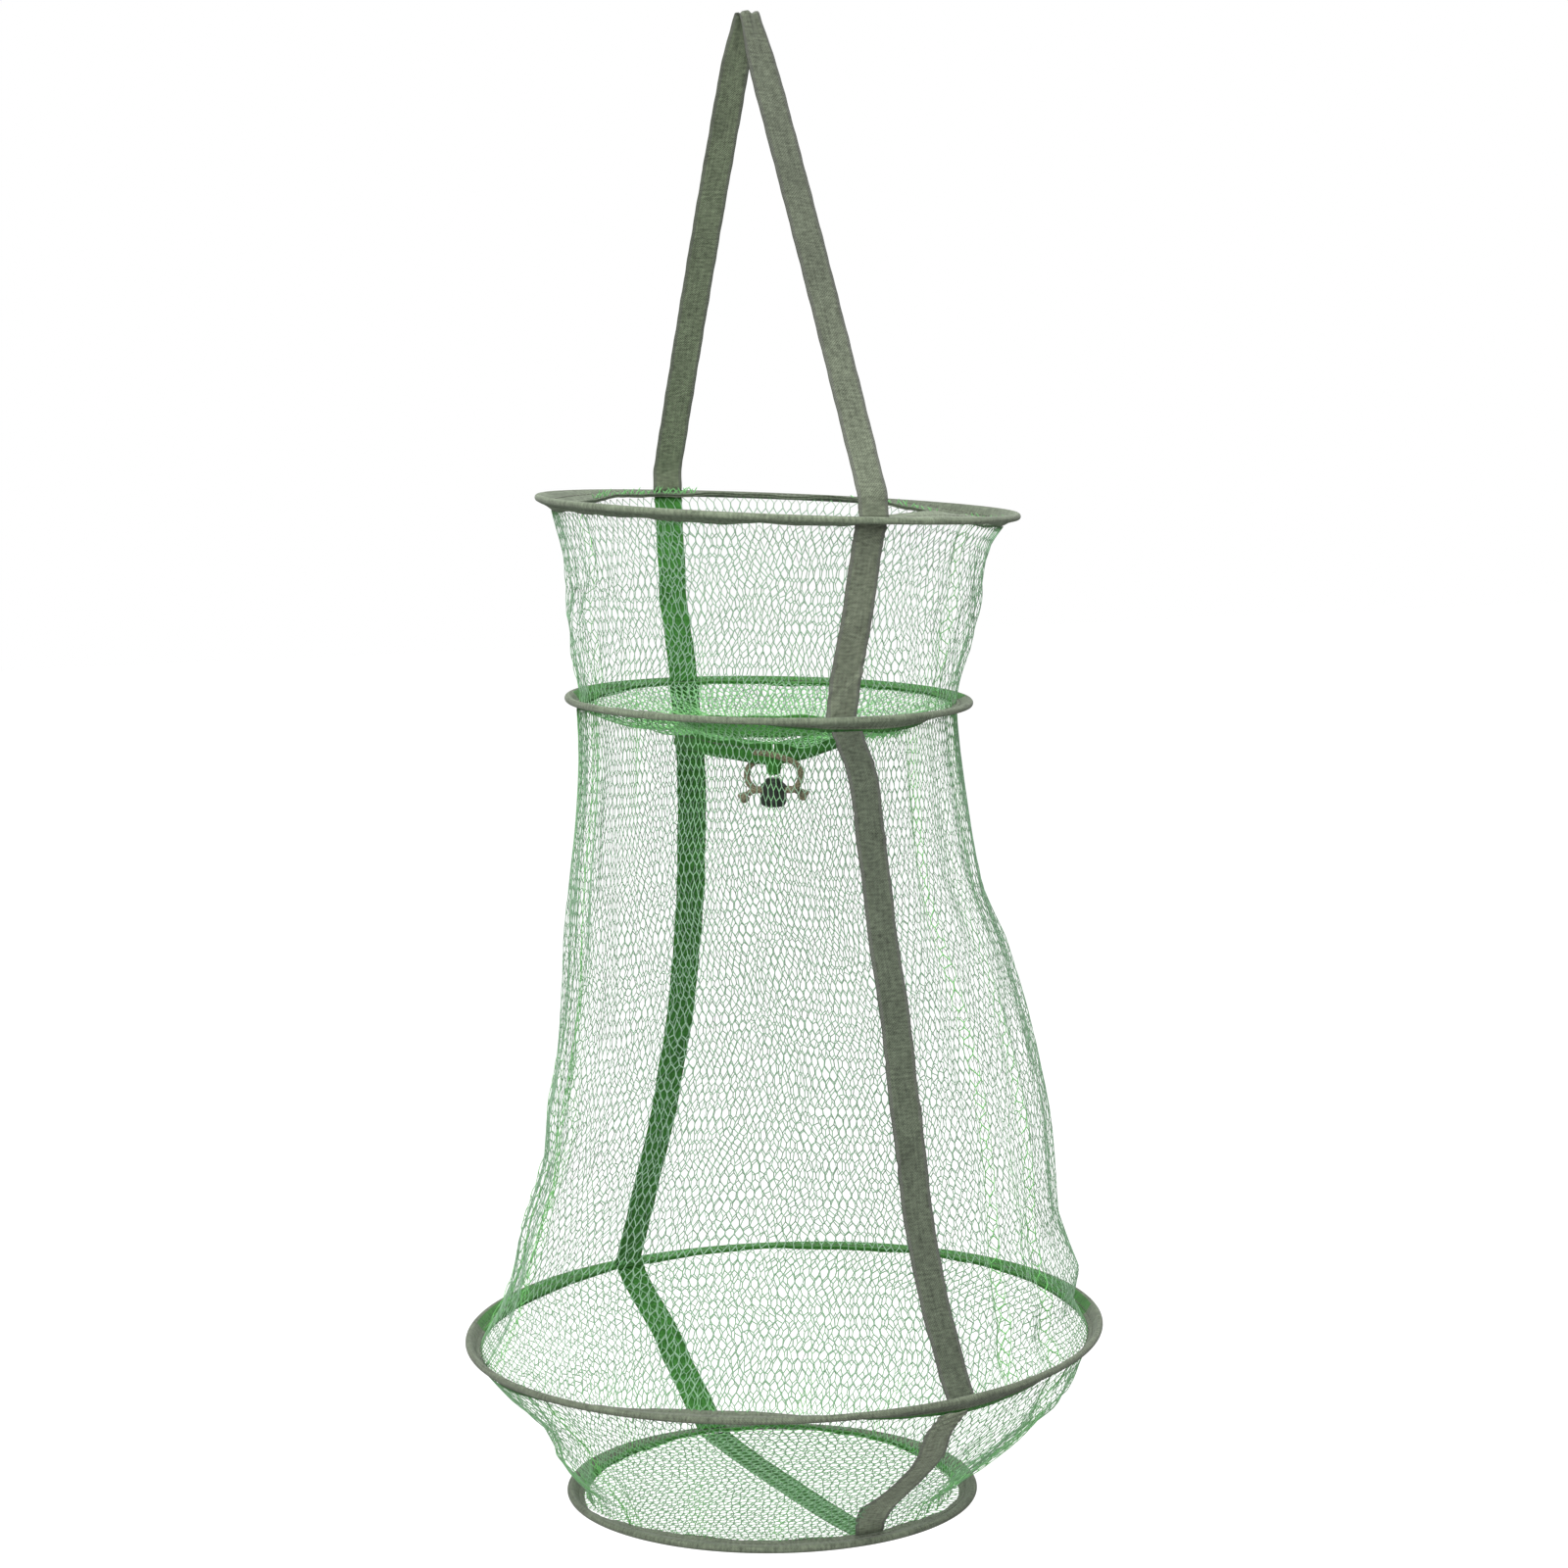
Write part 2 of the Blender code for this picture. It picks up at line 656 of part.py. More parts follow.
def revolve(name, profile, mat):
    """Turn a closed (radius, height) outline about the Z axis; radius 0 points are poles."""
    steps = LOCK_STEPS
    vertices = []
    rings = []
    for radius, height in profile:
        if radius == 0:
            rings.append([len(vertices)] * steps)
            vertices.append((0.0, 0.0, height))
        else:
            rings.append(list(range(len(vertices), len(vertices) + steps)))
            turns = np.arange(steps) * 2 * math.pi / steps
            vertices.extend(zip(radius * np.cos(turns), radius * np.sin(turns),
                                [height] * steps))
    faces = []
    for upper, lower in zip(rings[:-1], rings[1:]):
        for j in range(steps):
            k = (j + 1) % steps
            corners = [upper[j], lower[j], lower[k], upper[k]]
            face = list(dict.fromkeys(corners))
            if len(face) > 2:
                faces.append(tuple(face))
    return make_object(name, vertices, faces, mat)


def cut_cord_slot(obj, high):
    """Cut the cords' slot through an upright piece along its own X, up to a height."""
    length = 4 * LOCK_RADIUS
    tall = high + SLOT_HALF
    bpy.ops.mesh.primitive_cube_add(size=1)
    cutter = bpy.context.object
    cutter.name = obj.name + "_cutter"
    cutter.data.transform(((length, 0, 0, 0), (0, SLOT_WIDTH, 0, 0), (0, 0, tall, 0),
                           (0, 0, 0, 1)))
    cutter.location = (0, 0, high - tall / 2)
    cutter.hide_render = True
    cutter.display_type = "WIRE"
    cutter.parent = obj
    cut = obj.modifiers.new("cord_slot", "BOOLEAN")
    cut.operation = "DIFFERENCE"
    cut.solver = "EXACT"
    cut.object = cutter


def make_lock_body():
    """The cord lock's barrel: a rounded cup with a slot through it for both cords."""
    round_off = min(LOCK_ROUND, 0.8 * LOCK_WALL)
    base = LOCK_BASE_ROUND
    profile = [
        (0, BORE_FLOOR), (BORE_RADIUS, BORE_FLOOR), (BORE_RADIUS, LOCK_TOP),
        (LOCK_RADIUS - round_off, LOCK_TOP), (LOCK_RADIUS, LOCK_TOP - round_off),
        (LOCK_RADIUS, LOCK_END + base), (LOCK_RADIUS - 0.3 * base, LOCK_END + 0.3 * base),
        (LOCK_RADIUS - base, LOCK_END), (0, LOCK_END),
    ]
    body = revolve("cord_lock_body", profile, lock_material("cord_lock_body"))
    cut_cord_slot(body, SLOT_HALF)
    return body


def make_lock_button():
    """The plunger that is pressed in: its slot stays clear of the cords over the travel."""
    radius = BORE_RADIUS - GAP
    profile = [
        (0, BUTTON_TOP), (radius - BUTTON_ROUND, BUTTON_TOP),
        (radius, BUTTON_TOP - BUTTON_ROUND), (radius, BUTTON_END), (0, BUTTON_END),
    ]
    button = revolve("cord_lock_button", profile, lock_material("cord_lock_button"))
    cut_cord_slot(button, SLOT_HALF + BUTTON_TRAVEL)
    return button


def make_lock_spring():
    """The coil between the barrel's floor and the plunger."""
    wire = SPRING_WIRE / 2
    coil = BORE_RADIUS - 2 * GAP - 2 * wire
    turns = np.linspace(0, SPRING_TURNS * 2 * math.pi, SPRING_TURNS * SPRING_STEPS + 1)
    low = BORE_FLOOR + GAP + wire
    high = BUTTON_END - GAP - wire
    height = np.linspace(low, high, len(turns))
    points = np.stack([coil * np.cos(turns), coil * np.sin(turns), height], axis=1)
    return make_round_cord("cord_lock_spring", points, wire, 1,
                           steel_material("cord_lock_spring"))


def make_cord_lock(hoop):
    """The three pieces of the lock, upright on the cords under the hem's opening."""
    origin, _ = exit_frame(hoop)
    turn = math.radians(EXIT_DEG + 90)
    for piece in (make_lock_body(), make_lock_button(), make_lock_spring()):
        piece.location = (*origin[:2], origin[2] - CORD_DROP)
        piece.rotation_euler = (0.0, 0.0, turn)


def make_bottom_net(hoop):
    """The flat net floor inside the bottom hoop."""
    half = NET_THICKNESS / 2
    angles = ring_angles()
    radius = wire_centre_radius(hoop) - hoop.lip - GAP
    top = on_hoop(hoop, radius, angles, half)
    under = on_hoop(hoop, radius, angles, -half)
    n = len(angles)
    faces = [tuple(range(n)), tuple(range(2 * n - 1, n - 1, -1))]
    faces += [(i, n + i, n + (i + 1) % n, (i + 1) % n) for i in range(n)]
    return make_object("bottom_net", np.vstack([top, under]), faces,
                       net_material("bottom_net"))


def make_bottom_strap(hoop):
    """The tape under the net floor, from the front strap's crossing to the back one's."""
    face, _ = lip_face(hoop, hoop.lip - 2 * STITCH_MARGIN, -1)
    reach, height = face
    ends = []
    for angle in (hoop.front, hoop.back):
        ends.append(np.array([reach * math.cos(angle), reach * math.sin(angle)]))
    along = (ends[1] - ends[0]) / np.linalg.norm(ends[1] - ends[0])
    side = np.array([-along[1], along[0]]) * TAPE_WIDTH / 2
    sections = []
    for end in ends:
        loop = []
        for across, depth in ((-1, 0), (1, 0), (1, TAPE_THICKNESS), (-1, TAPE_THICKNESS)):
            x, y = end + side * across
            loop.append((x, y + hoop.sway, hoop.z + height - depth + hoop.lean * y))
        sections.append(loop)
    return sweep("bottom_strap", sections, tape_material("bottom_strap"), closed=False)


def handle_feet(hoop):
    """The lowest points of the handle's front and back foot, over the binding's crest."""
    (radius, height), _ = lip_face(hoop, 0.0, 1)
    angles = np.array([hoop.front, hoop.back])
    return on_hoop(hoop, radius, angles, height - GAP + HINGE_GAP)


def handle_path(foot, pivot_height):
    """Half of the handle's middle line, from its top to the end of one foot.

    Each station is (point, face normal, half width), with point and normal as (along, up)
    in the handle's own plane. Each foot's edge is a half circle about the line through
    both pivots, seen along that line, so that the bag swings without touching the foot.
    """
    half = TAPE_WIDTH / 2
    bend = LOOP_BEND_RADIUS + TAPE_THICKNESS / 2
    top = TAPE_THICKNESS / 2
    corner = np.array([LOOP_FLAT / 2, top - bend])
    path = [(np.array([0.0, top]), np.array([0.0, 1.0]), half)]
    reach = foot - corner
    slope = math.atan2(-reach[1], reach[0]) + math.asin(bend / np.linalg.norm(reach))
    for turn in np.linspace(0, slope, BEND_STEPS):
        normal = np.array([math.sin(turn), math.cos(turn)])
        path.append((corner + bend * normal, normal, half))
    down = np.array([math.cos(slope), -math.sin(slope)])
    start = path[-1][0]
    pivot = foot - down * (pivot_height - foot[1]) / math.sin(slope)
    for step in range(LEG_STEPS):
        path.append((start + (pivot - start) * (step + 1) / LEG_STEPS, normal, half))
    for turn in np.radians(TONGUE_TURNS_DEG):
        past = half * math.sin(turn) / math.sin(slope)
        path.append((pivot + down * past, normal, half * math.cos(turn)))
    return path


def make_handle(hoop):
    """The handle: one tape bent over at the top, with a rounded tongue at each foot."""
    front, back = handle_feet(hoop)
    spread = (front - back)[:2]
    spacing = np.linalg.norm(spread)
    along = np.array([*spread / spacing, 0.0])
    across = np.array([-along[1], along[0], 0.0])
    up = np.array([0.0, 0.0, 1.0])
    lowest = max(front[2], back[2])
    pivot_height = lowest + TAPE_WIDTH / 2
    path = handle_path(np.array([spacing / 2, lowest]), pivot_height)
    # The top is over the origin and the feet's middle isn't, so the plane leans evenly
    slant = np.array([*(front + back)[:2] / 2, 0.0]) / pivot_height
    sections = []
    for mirror, stations in ((-1, path[:0:-1]), (1, path)):
        for centre, normal, half in stations:
            loop = []
            for side, out in ((-1, -1), (1, -1), (1, 1), (-1, 1)):
                forward, height = centre + normal * out * TAPE_THICKNESS / 2
                point = mirror * forward * along + side * half * across + height * up
                loop.append(point + slant * min(height, 0.0))
            sections.append(loop)
    return sweep("handle_strap", sections, tape_material("handle_strap"), closed=False)


def build():
    """Make every piece of the bag."""
    clear_scene()
    mouth, throat, belly, bottom = make_hoops()
    for hoop in (mouth, throat, belly, bottom):
        make_wire(hoop)
        make_binding(hoop)
    upper = Sleeve(mouth, throat, UPPER_LINES, UPPER_SWELL, DRAWN_IN_POWER)
    main = Sleeve(throat, belly, MAIN_LINES, MAIN_SWELL, DRAWN_IN_POWER, MAIN_HANG,
                  MAIN_HANG_START)
    lower = Sleeve(belly, bottom, LOWER_LINES, LOWER_SWELL, BULGED_POWER, LOWER_HANG)
    for name, sleeve in (("upper", upper), ("main", main), ("lower", lower)):
        make_sleeve(name + "_net", sleeve)
        make_side_strap("front_strap_" + name, sleeve, sleeve.upper.front, sleeve.lower.front)
        make_side_strap("back_strap_" + name, sleeve, sleeve.upper.back, sleeve.lower.back)
    make_funnel(throat)
    make_hem(throat)
    make_drawstring(throat)
    for name, side, route in (("right", 1, RIGHT_ROUTE), ("left", -1, LEFT_ROUTE)):
        tail = "drawstring_tail_" + name
        points = tail_points(throat, side, route)
        make_round_cord(tail, points, CORD_RADIUS, 2, cord_material(tail))
        make_knot("drawstring_knot_" + name, points)
    make_cord_lock(throat)
    make_bottom_net(bottom)
    make_bottom_strap(bottom)
    make_handle(mouth)


build()
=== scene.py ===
# %% [markdown]
# # Dressing a hanging mesh fish bag
#
# The real bag is a column of soft green netting, held open by four wire hoops. Each hoop is
# wrapped in folded olive tape, and the same tape makes the side straps and the handle. A
# funnel of netting hangs inside the second hoop and ends in a drawstring with a cord lock.
#
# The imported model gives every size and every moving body. It is loaded first and stays as it
# is. Everything soft is then built over it, in metres and in the same place.

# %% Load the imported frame
import json
import math

import bpy
import numpy as np
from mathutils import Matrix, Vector

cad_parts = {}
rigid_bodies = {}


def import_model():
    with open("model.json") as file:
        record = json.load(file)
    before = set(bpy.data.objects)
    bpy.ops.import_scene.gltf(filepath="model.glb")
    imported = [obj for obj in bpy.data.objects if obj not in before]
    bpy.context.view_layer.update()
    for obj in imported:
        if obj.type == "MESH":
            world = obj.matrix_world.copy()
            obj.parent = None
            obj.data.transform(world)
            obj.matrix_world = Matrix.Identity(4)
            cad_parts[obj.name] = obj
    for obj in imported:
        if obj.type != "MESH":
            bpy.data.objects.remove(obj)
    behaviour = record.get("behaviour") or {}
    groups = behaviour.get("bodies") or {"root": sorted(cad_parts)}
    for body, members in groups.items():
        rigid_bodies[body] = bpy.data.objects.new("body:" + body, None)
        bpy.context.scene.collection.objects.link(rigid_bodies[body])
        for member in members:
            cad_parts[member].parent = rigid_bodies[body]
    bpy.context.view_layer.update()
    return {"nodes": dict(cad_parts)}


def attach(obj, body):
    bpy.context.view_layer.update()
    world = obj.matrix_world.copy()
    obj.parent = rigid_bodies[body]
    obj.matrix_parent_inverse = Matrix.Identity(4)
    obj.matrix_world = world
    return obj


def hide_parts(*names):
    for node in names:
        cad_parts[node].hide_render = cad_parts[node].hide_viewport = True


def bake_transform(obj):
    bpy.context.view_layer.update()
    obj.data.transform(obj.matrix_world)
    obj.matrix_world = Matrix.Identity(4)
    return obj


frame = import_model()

# %% [markdown]
# ## The camera
#
# The photograph looks at the bag from the front and a little from the side, from about two
# metres away and slightly downwards. The four hoops were used to find the camera: the
# flatness of each one's ellipse gives the height, and their widths give the distance.

# %% Camera
AZIMUTH = math.radians(65.0)
PITCH = math.radians(7.55)
camera_data = bpy.data.cameras.new("photo_camera")
camera_data.sensor_width = 36.0
camera_data.lens = 92.66
camera = bpy.data.objects.new("photo_camera", camera_data)
camera.location = (1.853, -0.8436, -0.116)
looking = Vector((-math.sin(AZIMUTH) * math.cos(PITCH), math.cos(AZIMUTH) * math.cos(PITCH),
                  -math.sin(PITCH)))
camera.rotation_euler = looking.to_track_quat("-Z", "Y").to_euler()
bpy.context.scene.collection.objects.link(camera)
bpy.context.scene.camera = camera
print("camera at", tuple(round(v, 3) for v in camera.location))

# %% [markdown]
# ## Small formulas
#
# The same few formulas come back in every piece: directions round the bag's axis, bell-shaped
# bumps, smooth steps and sums of waves.

# %% Formulas
UP = np.array([0.0, 0.0, 1.0])


def unit(vectors):
    """Vectors brought to length one."""
    return vectors / np.linalg.norm(vectors, axis=-1, keepdims=True)


def full_turn(steps):
    """Even angles round a full circle, without the closing one."""
    return np.linspace(0, 2 * np.pi, steps, endpoint=False)


def outward_at(angle):
    """Level unit vectors that point away from the axis."""
    return np.stack([np.cos(angle), np.sin(angle), 0 * angle], axis=-1)


def round_at(angle):
    """Level unit vectors that point round the axis."""
    return np.stack([-np.sin(angle), np.cos(angle), 0 * angle], axis=-1)


def degrees_past(angle, middle):
    """How far an angle in radians lies past a middle in degrees, from -180 to 180."""
    return (np.degrees(angle) - middle + 180.0) % 360.0 - 180.0


def bump(way, width):
    """A bell-shaped bump: the exponential of minus (way from the middle / width) squared."""
    return np.exp(-(way / width) ** 2)


def bell(angle, middle, width):
    """A bump over an angle, with its middle and its width in degrees."""
    return bump(degrees_past(angle, middle), width)


def soft_step(value, low, high):
    """A smooth rise from 0 at low to 1 at high."""
    t = np.clip((value - low) / (high - low), 0.0, 1.0)
    return t * t * (3.0 - 2.0 * t)


def ripple(value, waves):
    """A sum of sine waves, each given as (waves per unit, phase, height)."""
    return sum(height * np.sin(2 * np.pi * count * value + phase)
               for count, phase, height in waves)


def lengths_along(points):
    """Distance from the first point to each point of a line, measured along it."""
    steps = np.linalg.norm(np.diff(points, axis=0), axis=1)
    return np.concatenate([[0.0], np.cumsum(steps)])


def lengths_round(loop):
    """The same distances for a closed loop, up to its first point again."""
    return lengths_along(np.vstack([loop, loop[:1]]))


def spokes(first, second, turn):
    """Directions round each point of a line, from two square directions at the point."""
    return first[:, None] * np.cos(turn)[:, None] + second[:, None] * np.sin(turn)[:, None]


# %% [markdown]
# ## Grid surfaces
#
# Nearly every piece here is a surface over two parameters: one that runs along the piece and
# one that goes across or round it. The points are worked out as one numpy array, and a single
# helper turns such an array into a mesh. It also stores how far along and across each corner
# lies, in metres, so that a weave keeps its real size on a bent tape.

# %% Helpers for grids
CORNERS = ((0, 0), (0, 1), (1, 1), (1, 0))


def table(*columns):
    """Arrays, broadcast to one shape, as the columns of a table."""
    return np.stack(np.broadcast_arrays(*columns), axis=-1).reshape(-1, len(columns))


def outward_faces(points, faces):
    """Faces turned to point outwards: the volume, summed from all their corners, is positive."""
    a, b, c = points[faces[:, 0]], points[faces[:, 1]], points[faces[:, 2]]
    volume = np.einsum("ij,ij->", a, np.cross(b, c))
    if faces.shape[1] == 4:
        volume += np.einsum("ij,ij->", a, np.cross(c, points[faces[:, 3]]))
    return faces if volume > 0 else faces[:, ::-1]


def tube_faces(sections, loop, closed_along=False):
    """The four-sided faces between neighbouring sections of a tube, as point numbers."""
    i = np.arange(sections if closed_along else sections - 1)[:, None]
    j = np.arange(loop)
    return table(*((i + a) % sections * loop + (j + b) % loop for a, b in CORNERS))


def end_caps(sections, loop, as_made):
    """The points of a tube's first and last section, in the order that faces each cap out."""
    first, last = np.arange(loop), np.arange((sections - 1) * loop, sections * loop)
    return (first[::-1], last) if as_made else (first, last[::-1])


def link_mesh(name, points, faces, material, corner_uv=None):
    """A smooth mesh object at the origin from a list of points and a list of faces."""
    mesh = bpy.data.meshes.new(name)
    mesh.from_pydata(points.tolist(), [], faces)
    if corner_uv is not None:
        layer = mesh.uv_layers.new(name="metres")
        layer.data.foreach_set("uv", np.asarray(corner_uv, np.float32).ravel())
    mesh.polygons.foreach_set("use_smooth", np.ones(len(mesh.polygons), bool))
    mesh.materials.append(material)
    mesh.update()
    piece = bpy.data.objects.new(name, mesh)
    bpy.context.scene.collection.objects.link(piece)
    return piece


# %% A solid carried along a path
def grid_piece(name, grid, material, along, across, closed_along=False, lining=None):
    """A closed solid from sections of points that are carried along a path.

    grid[i, j] is point j of section i, and each section is a closed loop. along[i] and
    across[j] are distances in metres. Open ends get a flat cap. lining is a second
    material, and a table of yes and no for the sides that wear it.
    """
    sections, loop = grid.shape[:2]
    faces = tube_faces(sections, loop, closed_along)
    spans = len(faces) // loop
    ways = [(along[a:a + spans, None], across[b:b + loop]) for a, b in CORNERS]
    uv = np.stack([table(*(u + 0.0 * v for v, u in ways)),
                   table(*(v + 0.0 * u for v, u in ways))], axis=-1)
    points = grid.reshape(-1, 3)
    turned = outward_faces(points, faces)
    as_made = turned is faces
    uv = (uv if as_made else uv[:, ::-1]).reshape(-1, 2)
    face_list = turned.tolist()
    if not closed_along:
        for cap, end in zip(end_caps(sections, loop, as_made), (along[0], along[-1])):
            face_list.append(cap.tolist())
            uv = np.concatenate([uv, table(across[cap % loop], end)])
    piece = link_mesh(name, points, face_list, material, uv)
    if lining is not None:
        piece.data.materials.append(lining[0])
        painted_shade_or_lining = np.zeros(len(face_list), np.int32)
        painted_shade_or_lining[:len(faces)] = np.broadcast_to(lining[1], (spans, loop)).ravel()
        piece.data.polygons.foreach_set("material_index", painted_shade_or_lining)
    print(name, "has", len(face_list), "faces")
    return piece


def dress(piece, body=None, node=None):
    """Tell the frame the body a piece rides on and the node it replaces."""
    if body:
        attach(piece, body)
    if node:
        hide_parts(node)


# %% [markdown]
# ## Building a material
#
# Each finish starts from Blender's Principled shader. A few small helpers keep the node code
# readable: they add a node and fill its sockets, and give back its output. A number that is
# the same all over the surface is set on the shader's own socket.

# %% Helpers for shader nodes
WHITE = (1.0, 1.0, 1.0, 1.0)


def new_finish(name, colour, roughness, **sockets):
    """A material with a Principled shader, and a few of its sockets set."""
    finish = bpy.data.materials.new(name)
    finish.use_nodes = True
    shader = finish.node_tree.nodes["Principled BSDF"]
    shader.inputs["Base Color"].default_value = (*colour, 1.0)
    shader.inputs["Roughness"].default_value = roughness
    for socket, value in sockets.items():
        shader.inputs[socket.replace("_", " ")].default_value = value
    return finish


def add_node(owner, kind, sockets=None, **settings):
    """Add a shader node. A socket takes a number, a colour or another node's output."""
    node = owner.node_tree.nodes.new("ShaderNode" + kind)
    for name, value in settings.items():
        setattr(node, name, value)
    for name, value in (sockets or {}).items():
        if isinstance(value, bpy.types.NodeSocket):
            owner.node_tree.links.new(value, node.inputs[name])
        else:
            node.inputs[name].default_value = value
    return node


def maths(owner, operation, first, second=0.0, third=0.0):
    """The output of a Math node."""
    return add_node(owner, "Math", {0: first, 1: second, 2: third},
                    operation=operation).outputs[0]


def noise(finish, place, scale, detail):
    """The output of a Noise node. The scale is in features a metre."""
    return add_node(finish, "TexNoise", {"Vector": place, "Scale": scale,
                                         "Detail": detail}).outputs["Fac"]


def object_place(finish):
    """A point's place in metres, from the object's own origin."""
    return add_node(finish, "TexCoord").outputs["Object"]


def tape_place(finish):
    """A point's place on its own piece in metres: the pair, the part across, the part along."""
    place = add_node(finish, "UVMap", uv_map="metres").outputs["UV"]
    split = add_node(finish, "SeparateXYZ", {0: place})
    return place, split.outputs[0], split.outputs[1]


def mixed(finish, share, first, second):
    """A colour between two others, each three numbers or another node's output."""
    ends = [c if isinstance(c, bpy.types.NodeSocket) else (*c, 1.0) for c in (first, second)]
    return add_node(finish, "Mix", {"Factor": share, 6: ends[0], 7: ends[1]},
                    data_type="RGBA").outputs[2]


def ramp(finish, share, first, second, low=0.0, high=1.0):
    """A colour read from a ramp that runs from the first at low to the second at high."""
    node = add_node(finish, "ValToRGB", {"Fac": share})
    for element, at, colour in zip(node.color_ramp.elements, (low, high), (first, second)):
        element.position, element.color = at, (*colour, 1.0)
    return node.outputs[0]


def to_shader(finish, colour, roughness, height, depth):
    """Lead a colour, a roughness and a bump height to the Principled shader."""
    shader = finish.node_tree.nodes["Principled BSDF"]
    relief = add_node(finish, "Bump", {"Height": height, "Distance": depth, "Strength": 1.0})
    for output, socket in ((colour, "Base Color"), (roughness, "Roughness"),
                           (relief.outputs["Normal"], "Normal")):
        if output is not None:
            finish.node_tree.links.new(output, shader.inputs[socket])


# %% [markdown]
# ## Woven tape
#
# The olive tape is a firm, matt, woven cotton band. Close up it shows short crosswise ribs,
# fine lengthwise threads, patches that have faded, and a greyer selvedge on both sides with
# a dark line at the very edge. Painted shade darkens the handle towards its top, and the
# upper bindings at the back, where the wall of the bag keeps light out.
# The weave is made from two sine waves, one across and one along the tape, multiplied
# together: this gives the over-and-under of a plain weave. It reads the piece's own
# distances in metres, so a thread has the same size on every tape.

# %% The tape's finish
WEAVE_PITCH = 0.00070
TAPE_HALF = 0.0165 / 2
SELVEDGE = (0.150, 0.152, 0.142)
REAR = math.radians(155.0)


def tape_finish(name, light, dark, edge_at=None, painted_shade_or_lining=None):
    """Plain-woven cloth tape. edge_at is the distance from the middle to the tape's edge.

    painted_shade_or_lining is painted shade, given as (direction, low, high, left): between
    two distances from the origin along a direction, the colour falls to the share left.
    """
    finish = new_finish(name, light, 0.86, Sheen_Weight=0.18, Sheen_Roughness=0.45,
                        Specular_IOR_Level=0.25)
    place, across, along = tape_place(finish)
    warp, weft = (maths(finish, "SINE", maths(finish, "MULTIPLY", way, math.pi / WEAVE_PITCH))
                  for way in (across, along))
    weave = maths(finish, "MULTIPLY", warp, weft)

    def grain(wide, long, detail):
        """Noise stretched over the tape: wide and long are features a metre."""
        put = add_node(finish, "Mapping", {"Vector": place, "Scale": (wide, long, 1.0)})
        return noise(finish, put.outputs[0], 1.0, detail)

    ribs, threads, fade = grain(250, 760, 2.0), grain(900, 70, 2.0), grain(60, 40, 4.0)
    mix = maths(finish, "MULTIPLY_ADD", weave, 0.14, -0.90)
    for part, weight in ((ribs, 1.40), (threads, 0.85), (fade, 0.55)):
        mix = maths(finish, "MULTIPLY_ADD", part, weight, mix)
    colour = mixed(finish, mix, dark, light)
    if edge_at is not None:
        out = maths(finish, "ABSOLUTE", across)
        for start, rise, wanted, weight in ((0.0021, 0.0004, SELVEDGE, 0.55),
                                            (0.0004, 0.0003, dark, 0.85)):
            rim = maths(finish, "SUBTRACT", out, edge_at - start)
            rim = add_node(finish, "Clamp", {"Value": maths(finish, "MULTIPLY", rim, 1 / rise)})
            rim = maths(finish, "MULTIPLY", rim.outputs[0], weight)
            colour = mixed(finish, rim, colour, wanted)
    # Painted shade: the colour darkens between two distances along a direction.
    if painted_shade_or_lining is not None:
        direction, low, high, left = painted_shade_or_lining
        at = add_node(finish, "VectorMath", {0: object_place(finish), 1: direction},
                      operation="DOT_PRODUCT").outputs["Value"]
        kept = add_node(finish, "MapRange", {"Value": at, "From Min": low, "From Max": high,
                                             "To Min": 1.0, "To Max": left})
        colour = add_node(finish, "VectorMath", {0: colour, "Scale": kept.outputs[0]},
                          operation="SCALE").outputs[0]
    rough = maths(finish, "MULTIPLY_ADD", fade, 0.16, 0.76)
    height = maths(finish, "MULTIPLY_ADD", weave, 0.5, maths(finish, "MULTIPLY", ribs, 1.2))
    to_shader(finish, colour, rough, height, 0.00024)
    return finish


# %% The tapes' colours
# Painted shade: the handle's tape darkens towards its top.
handle_tape = tape_finish("handle_tape", (0.290, 0.336, 0.238), (0.078, 0.090, 0.062),
                          TAPE_HALF, painted_shade_or_lining=((0.0, 0.0, 1.0), -0.215, -0.120, 0.67))
handle_inside = tape_finish("handle_inside", (0.302, 0.366, 0.238), (0.081, 0.098, 0.062),
                            TAPE_HALF)
strap_tape = tape_finish("strap_tape", (0.190, 0.230, 0.160), (0.050, 0.061, 0.042), TAPE_HALF)
# Painted shade: the upper bindings darken towards the back of the bag.
binding_tape = tape_finish("binding_tape", (0.325, 0.395, 0.272), (0.086, 0.104, 0.070),
                           painted_shade_or_lining=((math.cos(REAR), math.sin(REAR), 0.0), 0.0, 0.10, 0.66))
low_binding = tape_finish("low_binding", (0.262, 0.312, 0.218), (0.068, 0.081, 0.056))
# A brighter copy of the strap tape: painted light for the front lower strap, which faces down.
painted_light_strap = tape_finish("painted_light_strap", (0.460, 0.535, 0.380), (0.125, 0.145, 0.100), TAPE_HALF)
green_side = tape_finish("green_side", (0.088, 0.350, 0.062), (0.020, 0.095, 0.014))
print("tape finishes:", [finish.name for finish in (
    handle_tape, handle_inside, strap_tape, binding_tape, low_binding, painted_light_strap, green_side)])

# %% [markdown]
# ## Netting thread, stitching, cord, steel and plastic
#
# The netting is soft nylon, a light grey green that shifts from strand to strand and looks
# leaf green where it is bunched: each net's points carry a number for that, from 0 to 1.
# The stitches are a darker olive thread. The drawstring is a khaki braid, with two sets of
# sine ribs that wind round it in opposite directions. The hoops are drawn spring steel, and
# the cord lock is satin plastic with a very fine grain.

